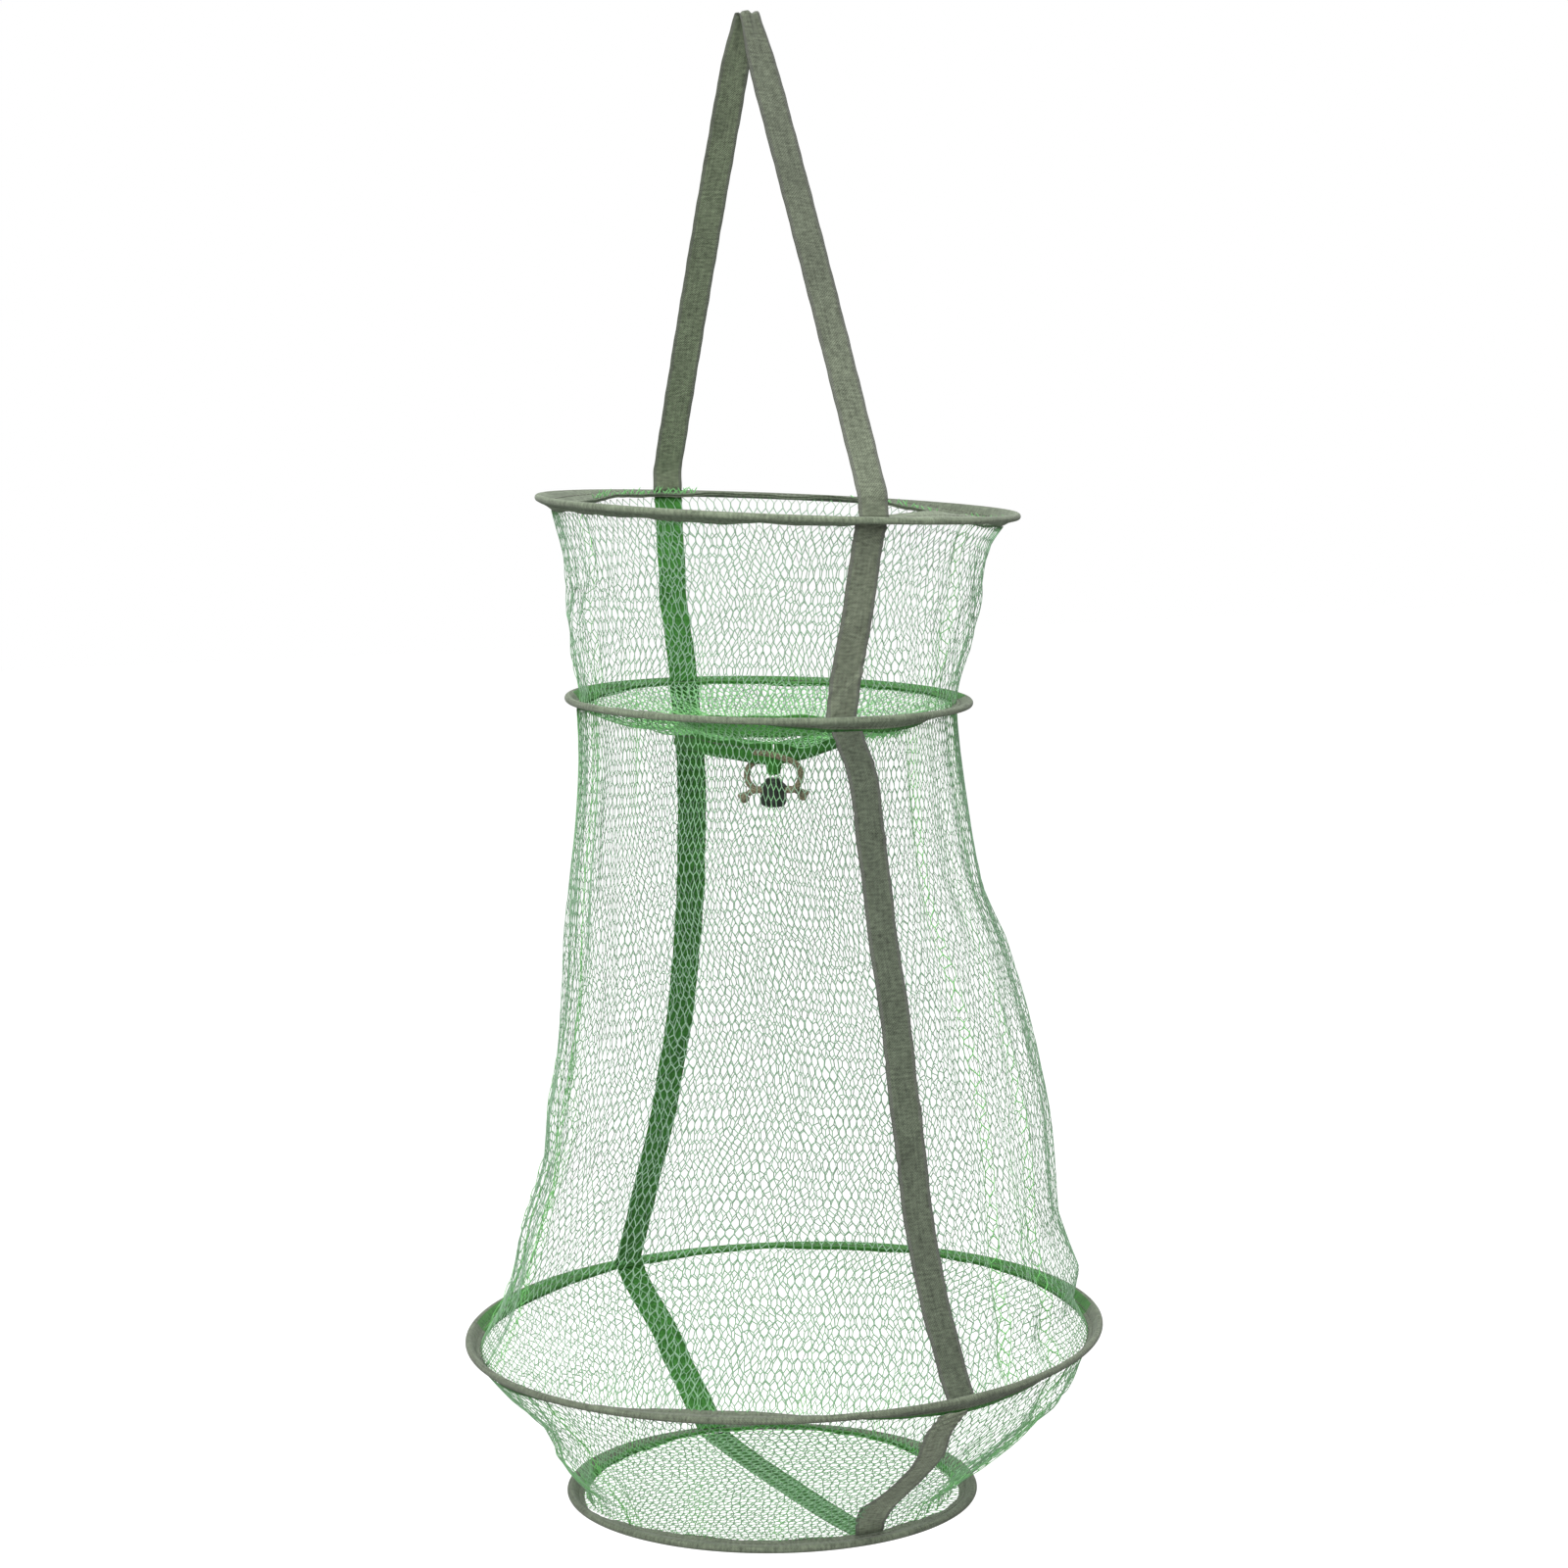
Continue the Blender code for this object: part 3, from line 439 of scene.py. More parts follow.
# %% Netting and stitching thread
net_thread = new_finish("net_thread", (0.215, 0.560, 0.250), 0.50, Sheen_Weight=0.25,
                        Specular_IOR_Level=0.45)
net_place = object_place(net_thread)
strand, patch = noise(net_thread, net_place, 420.0, 2.0), noise(net_thread, net_place, 22.0, 2.0)
net_mix = maths(net_thread, "ADD", maths(net_thread, "MULTIPLY", strand, 0.65),
                maths(net_thread, "MULTIPLY", patch, 0.35))
net_shade = mixed(net_thread, net_mix, (0.200, 0.350, 0.222), (0.365, 0.610, 0.405))
bunched = add_node(net_thread, "Attribute", attribute_name="bunched").outputs["Fac"]
to_shader(net_thread, mixed(net_thread, bunched, net_shade, (0.185, 0.660, 0.150)),
          maths(net_thread, "MULTIPLY_ADD", strand, 0.25, 0.38), strand, 0.00012)

stitch_thread = new_finish("stitch_thread", (0.090, 0.105, 0.070), 0.70, Sheen_Weight=0.2)
fibre = noise(stitch_thread, object_place(stitch_thread), 900.0, 2.0)
to_shader(stitch_thread, ramp(stitch_thread, fibre, (0.055, 0.066, 0.042),
                              (0.165, 0.180, 0.130)), None, fibre, 0.00010)

# %% Braided cord
CORD_DIAMETER = 0.0032
CORD_RADIUS = CORD_DIAMETER / 2
BRAID_PITCH = 0.0024
BRAID_RIBS = 5
BRAID_ROUND = 0.01005

cord_braid = new_finish("cord_braid", (0.30, 0.26, 0.15), 0.80, Sheen_Weight=0.3)
cord_place, cord_round, cord_along = tape_place(cord_braid)
cord_round = maths(cord_braid, "MULTIPLY", cord_round, 2 * math.pi * BRAID_RIBS / BRAID_ROUND)
cord_along = maths(cord_braid, "MULTIPLY", cord_along, 2 * math.pi / BRAID_PITCH)
rib = maths(cord_braid, "MAXIMUM",
            *(maths(cord_braid, "SINE", maths(cord_braid, way, cord_round, cord_along))
              for way in ("ADD", "SUBTRACT")))
fleck = maths(cord_braid, "MULTIPLY", noise(cord_braid, cord_place, 700.0, 3.0), 0.35)
cord_mix = maths(cord_braid, "ADD", maths(cord_braid, "MULTIPLY_ADD", rib, 0.30, 0.25), fleck)
to_shader(cord_braid, mixed(cord_braid, cord_mix, (0.105, 0.085, 0.045),
                            (0.420, 0.370, 0.230)), None, rib, 0.00022)

# %% Steel and plastic
hoop_steel = new_finish("hoop_steel", (0.42, 0.42, 0.41), 0.32, Metallic=1.0)
drawn = noise(hoop_steel, object_place(hoop_steel), 700.0, 3.0)
to_shader(hoop_steel, ramp(hoop_steel, drawn, (0.27, 0.27, 0.26), (0.50, 0.50, 0.49)),
          maths(hoop_steel, "MULTIPLY_ADD", drawn, 0.3, 0.2), drawn, 0.00004)

lock_plastic = new_finish("lock_plastic", (0.012, 0.020, 0.013), 0.38,
                          Specular_IOR_Level=0.5)
lock_place = object_place(lock_plastic)
pits, scuff = noise(lock_plastic, lock_place, 1500.0, 2.0), noise(lock_plastic, lock_place,
                                                                  260.0, 4.0)
to_shader(lock_plastic, ramp(lock_plastic, scuff, (0.008, 0.014, 0.009),
                             (0.026, 0.038, 0.028), 0.35, 0.75),
          maths(lock_plastic, "MULTIPLY_ADD", scuff, 0.35, 0.22), pits, 0.00003)

for finish, nodes in ((hoop_steel, ("mouth_wire", "throat_wire", "belly_wire", "bottom_wire",
                                    "cord_lock_spring")),
                      (lock_plastic, ("cord_lock_body", "cord_lock_button"))):
    for node in nodes:
        frame["nodes"][node].data.materials.clear()
        frame["nodes"][node].data.materials.append(finish)
print("other finishes:", [finish.name for finish in (net_thread, stitch_thread, cord_braid,
                                                     hoop_steel, lock_plastic)])

# %% [markdown]
# ## The four hoops
#
# A hoop is a circle that hangs slightly off centre and leans a little about the line between
# its two straps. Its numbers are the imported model's own. What is new here is the droop: the
# angle at which the folded tape's inner lip hangs down. On the real bag it changes round the
# hoop, because the straps and the net pull it over, so it is a base angle with a few soft
# bumps.

# %% Hoops
CLEAR = 0.0003
BINDING_THICK = 0.0007
COVER = (CLEAR + BINDING_THICK) / math.cos(math.radians(30))
WIRE_NOSE = 0.00125 + COVER
FOLD_NOSE = 0.00175
LIP_HALF = 0.0009
SEW_IN = 0.0015


class Hoop:
    """One hoop: its circle, how it hangs, its lip, and where the two straps cross it.

    bumps are (angle, width, extra droop), all in degrees.
    """

    def __init__(self, name, radius, z, sway, lean, lip, droop, front, back, bumps):
        self.name, self.z, self.sway, self.lip = name, z, sway, lip
        self.lean = math.tan(math.radians(lean))
        self.front, self.back = math.radians(front), math.radians(back)
        self.base, self.bumps = math.radians(droop), bumps
        self.wire = radius - WIRE_NOSE
        self.body = name + "_ring"

    def droop(self, angle):
        """The lip's droop at each angle: the base, plus bell-shaped bumps."""
        total = self.base + 0.0 * angle
        for middle, width, extra in self.bumps:
            total = total + math.radians(extra) * bell(angle, middle, width)
        return total

    def place(self, radius, angle, height):
        """Points from a radius, an angle and a height on this hoop's leaning plane."""
        x, y = radius * np.cos(angle), radius * np.sin(angle)
        return np.stack([x, y + self.sway, self.z + height + self.lean * y], axis=-1)

    def on_fold(self, angle, inward, up):
        """Radius and height on the folded tape, from distances in and up before it droops."""
        droop = self.droop(angle)
        reach = inward * np.cos(droop) + up * np.sin(droop)
        height = -inward * np.sin(droop) + up * np.cos(droop)
        return self.wire - reach, height


mouth = Hoop("mouth", 0.1235, -0.245, 0.0170, -2.5, 0.0105, 20.0, -1.5, 185.5,
             [(68.0, 18.0, 8.0), (245.0, 26.0, 16.0), (150.0, 55.0, -25.0),
              (18.0, 20.0, -42.0), (92.0, 22.0, 32.0)])
throat = Hoop("throat", 0.1045, -0.343, 0.0120, -0.8, 0.0085, 8.0, -4.0, 183.0,
              [(8.0, 26.0, 42.0), (-80.0, 34.0, -12.0), (245.0, 24.0, 38.0)])
belly = Hoop("belly", 0.1660, -0.6715, 0.0205, 1.9, 0.0085, 4.0, 7.0, 187.0,
             [(9.0, 24.0, 50.0), (-78.0, 22.0, 20.0), (150.0, 40.0, -9.0),
              (62.0, 30.0, 42.0), (247.0, 34.0, 40.0), (-34.0, 26.0, -15.0)])
bottom = Hoop("bottom", 0.1075, -0.7560, 0.0137, 0.4, 0.0085, 2.0, 6.5, 173.5,
              [(-30.0, 45.0, -14.0), (75.0, 28.0, 36.0), (245.0, 34.0, 38.0),
               (155.0, 45.0, -16.0)])
hoops = (mouth, throat, belly, bottom)
for hoop in hoops:
    print(hoop.name, "hoop: wire radius", round(hoop.wire, 4), "at height", hoop.z)

# %% [markdown]
# ## Bindings: tape folded over the wire
#
# Each binding is one length of tape folded in half over the wire, the net's edge and the
# straps, and sewn through both layers. It could be a tube that is squashed on one side, but
# a drawn cross-section is easier to control: a round nose over the wire, two layers that run
# together, a groove where the seam pulls them in, and two separate edges at the inner lip.
# The section is carried round the hoop, while its droop, lip length and puckers change.
# On the throat's and the belly's hoops the netting wraps the lip's inner edge all round, and
# both of its sides at the back, which look green. On the bottom hoop only the back is green.

# %% The fold's cross-section
SEAM_IN, SEAM_WIDE = 0.0046, 0.0007
BINDING_STEPS = 420
TIP_SIDES, UPPER_SIDES, LOWER_START = 7, 11, 21


def fold_half(inward, lip):
    """Half the fold's thickness at a distance inward from the wire's centre.

    It falls smoothly from the nose to the lip, less a narrow dip at the seam.
    """
    fall = soft_step(inward, 0.0, 0.62 * lip)
    dip = 0.00028 * bump(inward - SEAM_IN, SEAM_WIDE)
    return FOLD_NOSE + (LIP_HALF - FOLD_NOSE) * fall - dip


def fold_section(lip):
    """The fold as a closed loop of (inward, up) points, from the lip over the top and back."""
    run = np.array([1.0, 0.93, 0.82, 0.70, 0.62, 0.545, 0.47, 0.38, 0.27, 0.15, 0.05]) * lip
    top = np.stack([run, fold_half(run, lip)], axis=1)
    turns = np.radians(np.linspace(90, 270, 11))
    nose = FOLD_NOSE * np.stack([np.cos(turns), np.sin(turns)], axis=1)
    slit = np.array([[lip, -0.00022], [lip - 0.0012, 0.0], [lip, 0.00022]])
    return np.vstack([top, nose, top[::-1] * [1, -1], slit])


# %% The four bindings
def binding(hoop, phase):
    """The folded tape all round a hoop, puckered along its seam."""
    angle = full_turn(BINDING_STEPS)
    section = fold_section(hoop.lip)
    share = angle / (2 * np.pi)
    longer = ripple(share, [(7, phase, 0.022), (17, 2 * phase, 0.016), (43, phase, 0.010)])
    pucker = ripple(share, [(60, phase, 0.00007), (97, 1 + phase, 0.00006),
                            (9, phase, 0.00010)])
    nod = np.radians(ripple(share, [(5, 3 + phase, 2.0), (11, phase, 2.2), (23, 1.0, 1.5)]))
    inward = section[:, 0] * (1 + longer[:, None] * (section[:, 0] > 0.002))
    grip = np.clip(section[:, 0] / hoop.lip, 0, 1)
    up = section[:, 1] + pucker[:, None] * grip + inward * np.sin(nod[:, None]) * grip
    radius, height = hoop.on_fold(angle[:, None], inward, up)
    sides = np.arange(len(section))
    rear = (np.cos(angle - REAR) > 0.12)[:, None]
    tip = (sides >= len(section) - TIP_SIDES) | (rear & (sides < 4))
    both = (sides < UPPER_SIDES) | (sides >= LOWER_START)
    painted_shade_or_lining = rear & tip if hoop is bottom else (rear & both) | tip
    return grid_piece(hoop.name + "_folded_tape", hoop.place(radius, angle[:, None], height),
                      binding_tape if hoop in (mouth, throat) else low_binding,
                      np.append(angle, 2 * np.pi) * hoop.wire,
                      lengths_round(section), closed_along=True,
                      lining=None if hoop is mouth else (green_side, painted_shade_or_lining))


for hoop, phase in zip(hoops, (0.4, 1.3, 2.2, 3.9)):
    dress(binding(hoop, phase), hoop.body, hoop.name + "_binding")

# %% [markdown]
# ## Stitches
#
# A line of machine stitches closes each binding. They could be painted on, but real ones
# stand up from the tape and catch the light, so each one is a tiny grain of thread: a small
# spindle that thins towards both ends. All of a row's stitches are made in one array. With
# 38 faces each they stay cheap.

# %% Rows of stitches
STITCH_PITCH = 0.0032
STITCH_LONG = 0.0023
STITCH_THICK = 0.00026
STITCH_RINGS, STITCH_SIDES = 7, 6


def stitch_row(name, middles, directions, ups, material, long=STITCH_LONG,
               thick=STITCH_THICK):
    """Small spindles of thread, one at each middle point.

    A ring's radius is the square root of a cosine of its place along the stitch.
    """
    ends = np.linspace(-0.5, 0.5, STITCH_RINGS)
    turns = full_turn(STITCH_SIDES)
    thick = thick * np.sqrt(np.maximum(np.cos(np.pi * ends * 0.96), 0.0))
    centre = middles[:, None, None] + directions[:, None, None] * (long * ends[:, None, None])
    ring = (np.cross(directions, ups)[:, None, None] * np.cos(turns)[:, None] * 1.5
            + ups[:, None, None] * np.sin(turns)[:, None])
    grid = centre + ring * thick[:, None, None]
    count, rings, around = grid.shape[:3]
    sides = tube_faces(rings, around)
    turned = outward_faces(grid[0].reshape(-1, 3), sides)
    shift = np.arange(count)[:, None, None] * rings * around
    faces = (turned + shift).reshape(-1, 4).tolist()
    for cap in end_caps(rings, around, turned is sides):
        faces += (cap + shift[:, 0]).tolist()
    print(name, "has", count, "strands of thread")
    return link_mesh(name, grid.reshape(-1, 3), faces, material)


# %% Stitches of the bindings
def binding_stitches(hoop, side):
    """Stitches along a binding's seam, on its upper (1) or lower (-1) face."""
    count = int(2 * np.pi * (hoop.wire - SEAM_IN) / STITCH_PITCH)
    angle = (np.arange(count) + 0.5 * (side < 0)) * 2 * np.pi / count
    up = side * (fold_half(SEAM_IN, hoop.lip) + 0.00008)

    def put(ahead, lift):
        radius, height = hoop.on_fold(angle, SEAM_IN, up + lift)
        return hoop.place(radius, angle + ahead, height)

    middle = put(0.0, 0.0)
    return middle, unit(put(0.001, 0.0) - middle), unit(put(0.0, side * 0.001) - middle)


for hoop in hoops:
    for side, word in ((1, "upper"), (-1, "lower")):
        row = stitch_row(hoop.name + "_stitches_" + word, *binding_stitches(hoop, side),
                         stitch_thread)
        dress(row, hoop.body)

# %% [markdown]
# ## Loose ends of the net
#
# Where the netting is caught in a binding, its cut edge shows in a few places as short loose
# threads. Each is the same small spindle as a stitch, only longer and thinner, and they lean
# to the left and right in turn like the sides of a cut mesh.

# %% Loose threads
def keep_bunched(piece, values):
    """Store how bunched the net is at each point, from 0 to 1, for its material."""
    piece.data.attributes.new("bunched", "FLOAT", "POINT").data.foreach_set("value", values)


def loose_threads(hoop, label, start, end, count, long, inward, rise):
    """Threads from a lip's edge, over a range of degrees, leaning by fixed random amounts."""
    chance = np.random.default_rng(count)
    angle = np.radians(np.linspace(start, end, count) + chance.normal(0, 0.5, count))
    radius, height = hoop.on_fold(angle, hoop.lip - inward, 0.0006 * np.sign(rise))
    centre = -outward_at(angle)
    sideways = np.where(np.arange(count) % 2, 0.8, -0.8) + chance.normal(0, 0.25, count)
    heading = unit(round_at(angle) * sideways[:, None] + centre * 0.25 + rise * UP)
    reach = long * chance.uniform(0.55, 1.15, count)
    middle = hoop.place(radius, angle, height) + heading * reach[:, None] * 0.42
    row = stitch_row(hoop.name + "_threads_" + label, middle, heading, centre, net_thread,
                     reach[:, None, None, None], 0.00024)
    keep_bunched(row, np.full(len(row.data.vertices), 0.7))
    dress(row, hoop.body)


for span in ((mouth, "a", 178, 214, 44, 0.0052, 0.0008, 0.9),
             (mouth, "b", 108, 134, 22, 0.0040, 0.0008, 0.8),
             (mouth, "c", 60, 96, 26, 0.0040, 0.0040, 0.5),
             (throat, "a", 3, 20, 40, 0.0070, 0.0004, -1.0),
             (belly, "a", -12, 5, 30, 0.0034, 0.0004, 0.9),
             (belly, "b", 172, 200, 36, 0.0050, 0.0008, 0.8)):
    loose_threads(*span)

# %% [markdown]
# ## The sleeves between the hoops
#
# Between two hoops the net is a soft tube. Its straight line from lip to lip is bent inward
# or outward, and it hangs a little to one side. Where many meshes have to meet a small hoop
# they are gathered: some places stay open and others are squeezed into narrow folds, which
# show as bright green streaks. One class holds this surface, because the straps lie on it.

# %% The sleeve's surface
FRONT_STRAP, BACK_STRAP, STRAP_WIDTH = 3.0, 185.0, 13.0
SLACK_SIDE = math.radians(65.0)


class Sleeve:
    """The net surface between two hoops, over an angle and a share of the height (0 to 1).

    Its radius runs straight from lip to lip, plus a swell (1 - |2s - 1| to a power), plus
    a shift in millimetres, read from a short list at each side of the photograph. Gathers
    are (degrees, width in degrees, strength, reach at the top, reach at the foot).
    """

    def __init__(self, upper, lower, swell, power, hang, hang_start, sides, gathers):
        self.upper, self.lower, self.swell, self.power = upper, lower, swell, power
        self.hang, self.hang_start, self.sides, self.gathers = hang, hang_start, sides, gathers

    def lip_edge(self, hoop, angle, side):
        """Where the net is sewn: just off the lip's upper (1) or lower (-1) face."""
        inward = hoop.lip - SEW_IN
        return hoop.on_fold(angle, inward, side * (fold_half(inward, hoop.lip) + CLEAR))

    def pulls(self, share):
        """Each gather's middle and width, and how strongly it works at a share of the height."""
        def reach(way, length):
            return bump(way, length) if length else 0.0

        return [(middle, width, strength * reach(share, top) + strength * reach(1 - share, foot))
                for middle, width, strength, top, foot in self.gathers]

    def gather(self, turn, share):
        """Angles for meshes counted evenly round (turn from 0 to 1).

        The space of each mesh shrinks near a gather by a bell shape, so the angle is the
        turn less a sum of tanh steps, scaled to fill the circle again.
        """
        left, whole = turn + 0.0 * share, 1.0 + 0.0 * share
        for middle, width, strength in self.pulls(share):
            centre, half = middle / 360.0, width / 360.0
            left = left - strength * half * (np.tanh((turn - centre) / half) + 1.0)
            whole = whole - 2.0 * strength * half
        return 2 * np.pi * left / whole

    def fold_out(self, angle, share):
        """Radial folds at the gathers, and slow waves round the net that die out at a strap."""
        out = 0.0 * angle * share
        for middle, width, strength in self.pulls(share):
            away = degrees_past(angle, middle) / (0.45 * width)
            out = out + 0.0032 * strength * np.sin(1.6 * away) * np.exp(-away ** 2 / 3.0)
        calm = np.sin(np.pi * share) ** 0.7
        for strap in (FRONT_STRAP, BACK_STRAP):
            calm = calm * (1 - 0.95 * bell(angle, strap, STRAP_WIDTH))
        turn = angle / (2 * np.pi)
        return out + calm * (ripple(turn + 0.05 * share, [(9, 0.7, 0.0007), (23, 2.0, 0.0010)])
                             + 0.0006 * np.sin(2 * np.pi * (5 * turn + 2.3 * share))
                             + 0.0006 * np.sin(2 * np.pi * (31 * turn - 1.7 * share)))

    def bunch(self, angle, share):
        """How bunched the net is, from 0 to 1: near a gather, close to both lips, and at
        the bag's two slack sides."""
        total = 0.55 * np.exp(-share / 0.018) + 0.55 * np.exp(-(1 - share) / 0.018) \
            + 0.12 * np.cos(angle - SLACK_SIDE) ** 6
        for middle, width, strength in self.pulls(share):
            total = total + 2.2 * strength * bell(angle, middle, 0.6 * width)
        return np.clip(total, 0.0, 1.0)

    def place(self, angle, share, offset=0.0, across=0.0, folds=True):
        """Points on the net, or at an offset outside it and a distance sideways."""
        angle, share = np.broadcast_arrays(angle, share)
        top_radius, top_height = self.lip_edge(self.upper, angle, -1)
        end_radius, end_height = self.lip_edge(self.lower, angle, 1)
        end_height = end_height + self.lower.z - self.upper.z
        radius = top_radius + (end_radius - top_radius) * share
        height = top_height + (end_height - top_height) * share
        radius = radius + self.swell * (1 - np.abs(2 * share - 1) ** self.power) + offset
        for facing, shares, shifts in self.sides:
            weight = np.maximum(np.cos(angle - math.radians(facing)), 0.0) ** 2
            radius = radius + weight * np.interp(share, shares, shifts) / 1000.0
        if folds:
            radius = radius + self.fold_out(angle, share)
        x = radius * np.cos(angle) - across * np.sin(angle)
        y = radius * np.sin(angle) + across * np.cos(angle)
        lean = self.upper.lean + (self.lower.lean - self.upper.lean) * share
        sway = self.upper.sway + (self.lower.sway - self.upper.sway) * share
        below = np.clip((share - self.hang_start) / (1 - self.hang_start), 0, 1)
        return np.stack([x, y + sway + self.hang * np.sin(np.pi * below) ** 2,
                         self.upper.z + height + lean * y], axis=-1)

    def height_range(self):
        """The height of the top edge's lowest point and of the foot's highest."""
        angle = np.linspace(0, 2 * np.pi, 90)
        return self.place(angle, 0.0)[:, 2].min(), self.place(angle, 1.0)[:, 2].max()

    def hang_piece(self, piece, slot, node):
        """Bake a piece's place into its points and hide the imported node it replaces."""
        high, low = self.height_range()
        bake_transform(piece)
        dress(piece, node=node)


# %% The three sleeves
GATHER_ANGLES = (22, 47, 70, 96, 121, 147, 206, 229, 250, 270, 292, 315, 336)


def even_gathers(width, strength, top, foot):
    """Gathers at the chosen angles, each a little different from the last."""
    spread = 1 + 0.35 * np.sin(np.arange(len(GATHER_ANGLES)) * 2.4)
    return [(angle, width * s, min(strength * (1.7 - 0.7 * s), 0.88), top * s, foot * s)
            for angle, s in zip(GATHER_ANGLES, spread)]


upper_sleeve = Sleeve(
    mouth, throat, -0.0025, 4, 0.0, 0.0,
    [(65, (0, 0.1, 0.25, 0.4, 0.55, 0.7, 1), (0, -2.5, -1.5, 1, 1, 1.2, 0)),
     (245, (0, 0.4, 0.55, 0.75, 1), (0, -1.5, 3.2, 2.2, 0))],
    even_gathers(3.2, 0.28, 0.0, 0.24) + [(33, 3.0, 0.60, 0.30, 0.70),
                                          (222, 2.6, 0.50, 0.5, 0.5)])
main_sleeve = Sleeve(
    throat, belly, -0.0075, 4, 0.0125, 0.22,
    [(65, (0, 0.2, 0.29, 0.37, 0.52, 0.71, 0.81, 0.9, 0.95, 1),
      (0, 1, 1, 4, 0.5, -1.5, -2.2, 4.4, -3, 0)),
     (245, (0, 0.08, 0.29, 0.42, 0.55, 0.64, 0.71, 0.83, 0.9, 0.95, 1),
      (0, -1.5, -3.3, -2.2, 1.6, 2.8, -2, -1.5, -5, -4, 0))],
    even_gathers(5.0, 0.26, 0.20, 0.0) + [
        (21, 2.4, 0.86, 0.0, 0.90), (36, 3.0, 0.84, 0.0, 0.55), (235, 3.4, 0.80, 0.0, 0.60),
        (222, 3.0, 0.70, 0.0, 0.45), (266, 3.0, 0.84, 0.0, 0.75), (96, 3.4, 0.60, 0.0, 0.20)])
lower_sleeve = Sleeve(
    belly, bottom, 0.0050, 2, 0.0050, 0.0,
    [(65, (0, 0.3, 0.4, 0.5, 0.7, 0.9, 1), (0, 1, -2.5, -4.5, -9, -13, -5)),
     (245, (0, 0.25, 0.4, 0.55, 0.7, 0.9, 1), (0, -6, -10, -7.5, -5, -8.5, -3))],
    even_gathers(4.0, 0.40, 0.0, 0.34) + [(287, 3.6, 0.74, 0.5, 0.4),
                                          (35, 4.0, 0.80, 0.2, 0.6)])
for word, sleeve in (("upper", upper_sleeve), ("main", main_sleeve), ("lower", lower_sleeve)):
    print(word, "net from", [round(float(z), 4) for z in sleeve.height_range()])

# %% [markdown]
# ## Knitting the net
#
# The net is knotless: thin twisted strands that meet in threes and leave rounded six-sided
# holes. A picture of a net on a plain tube would look flat from the side and thick in its
# folds, so every mesh is real. Each strand has a ridge on the outside and one on the inside,
# and its two flanks meet at the edge of a hole. That needs ten points and twelve four-sided
# faces a mesh, for a closed, solid thread.

# %% Netting as numpy arrays
SIDE_SHARE = 0.24
THREAD_HALF = 0.00027
THREAD_DEEP = 0.00018
PLAIN_MESH = 0.0042


def knit(name, joints, normals, bunched, cells, thread):
    """A solid net from its joints, their normals, and the six joints round every hole.

    bunched is a number for each joint, kept on its points for the material.

    Each hole's corner lies where lines at half a thread's width beside both strands meet:
    that is the joint plus the two unit strand directions, times the half width, divided by
    the sine of the angle between them. It is never moved past the hole's middle. The half
    width grows with the square root of the mesh's width: a stretched strand lies flatter.
    """
    corner = joints[cells]
    before, after = (np.roll(corner, way, axis=1) - corner for way in (1, -1))
    before /= np.linalg.norm(before, axis=2)[..., None] + 1e-12
    after /= np.linalg.norm(after, axis=2)[..., None] + 1e-12
    sine = np.linalg.norm(np.cross(before, after), axis=2)[..., None]
    narrow = np.linalg.norm(corner[:, 1] - corner[:, 5], axis=1)
    half = np.minimum(thread * np.sqrt(narrow / PLAIN_MESH), 0.34 * narrow)[:, None, None]
    shift = (before + after) * half / np.maximum(sine, 0.12)
    room = np.linalg.norm(corner.mean(axis=1, keepdims=True) - corner, axis=2)[..., None]
    size = np.linalg.norm(shift, axis=2)[..., None] + 1e-12
    holes = corner + shift * np.minimum(1.0, 0.72 * room / size)
    deep = normals * THREAD_DEEP
    count = len(joints)
    points = np.vstack([joints + deep, joints - deep, holes.reshape(-1, 3)])
    hole = 2 * count + np.arange(len(cells) * 6).reshape(-1, 6)
    next_cell, next_hole = np.roll(cells, -1, axis=1), np.roll(hole, -1, axis=1)
    outside = table(cells, next_cell, next_hole, hole)
    inside = table(next_cell + count, cells + count, hole, next_hole)
    strands = table(cells, next_cell)
    key = np.sort(strands, axis=1) @ np.array([count, 1])
    _, where, times = np.unique(key, return_index=True, return_counts=True)
    one, two = strands[where[times == 1]].T
    rims = table(two, one, one + count, two + count)
    faces = outward_faces(points, np.vstack([outside, inside, rims]))
    piece = link_mesh(name, points, faces.tolist(), net_thread)
    keep_bunched(piece, np.concatenate([bunched, bunched, bunched[cells].ravel()]))
    print(name, "has", len(cells), "meshes and", len(faces), "faces")
    return piece


# %% Netting laid round a surface
def net_joints(rows, wide):
    """How far across and down the joints lie, in meshes: for each line, tips, then sides."""
    line, column = np.arange(rows + 1)[:, None], np.arange(wide)
    across = column + 0.5 * (line % 2)
    return (np.stack([across, across - 0.5], axis=1),
            np.stack([line - 1 + SIDE_SHARE + 0.0 * column, line - SIDE_SHARE + 0.0 * column],
                     axis=1))


def net_cells(row, column, wide):
    """The six joint numbers of each hole, for some rows and columns of holes.

    Every line of joints has a row of tips and a row of sides, and lines alternate by half
    a mesh.
    """
    odd = row % 2

    def joint(line, side, k):
        return (2 * line + side) * wide + k % wide

    return table(joint(row, 0, column), joint(row, 1, column + 1),
                 joint(row + 1, 0, column + odd), joint(row + 1, 1, column + odd),
                 joint(row + 1, 0, column - 1 + odd), joint(row, 1, column))


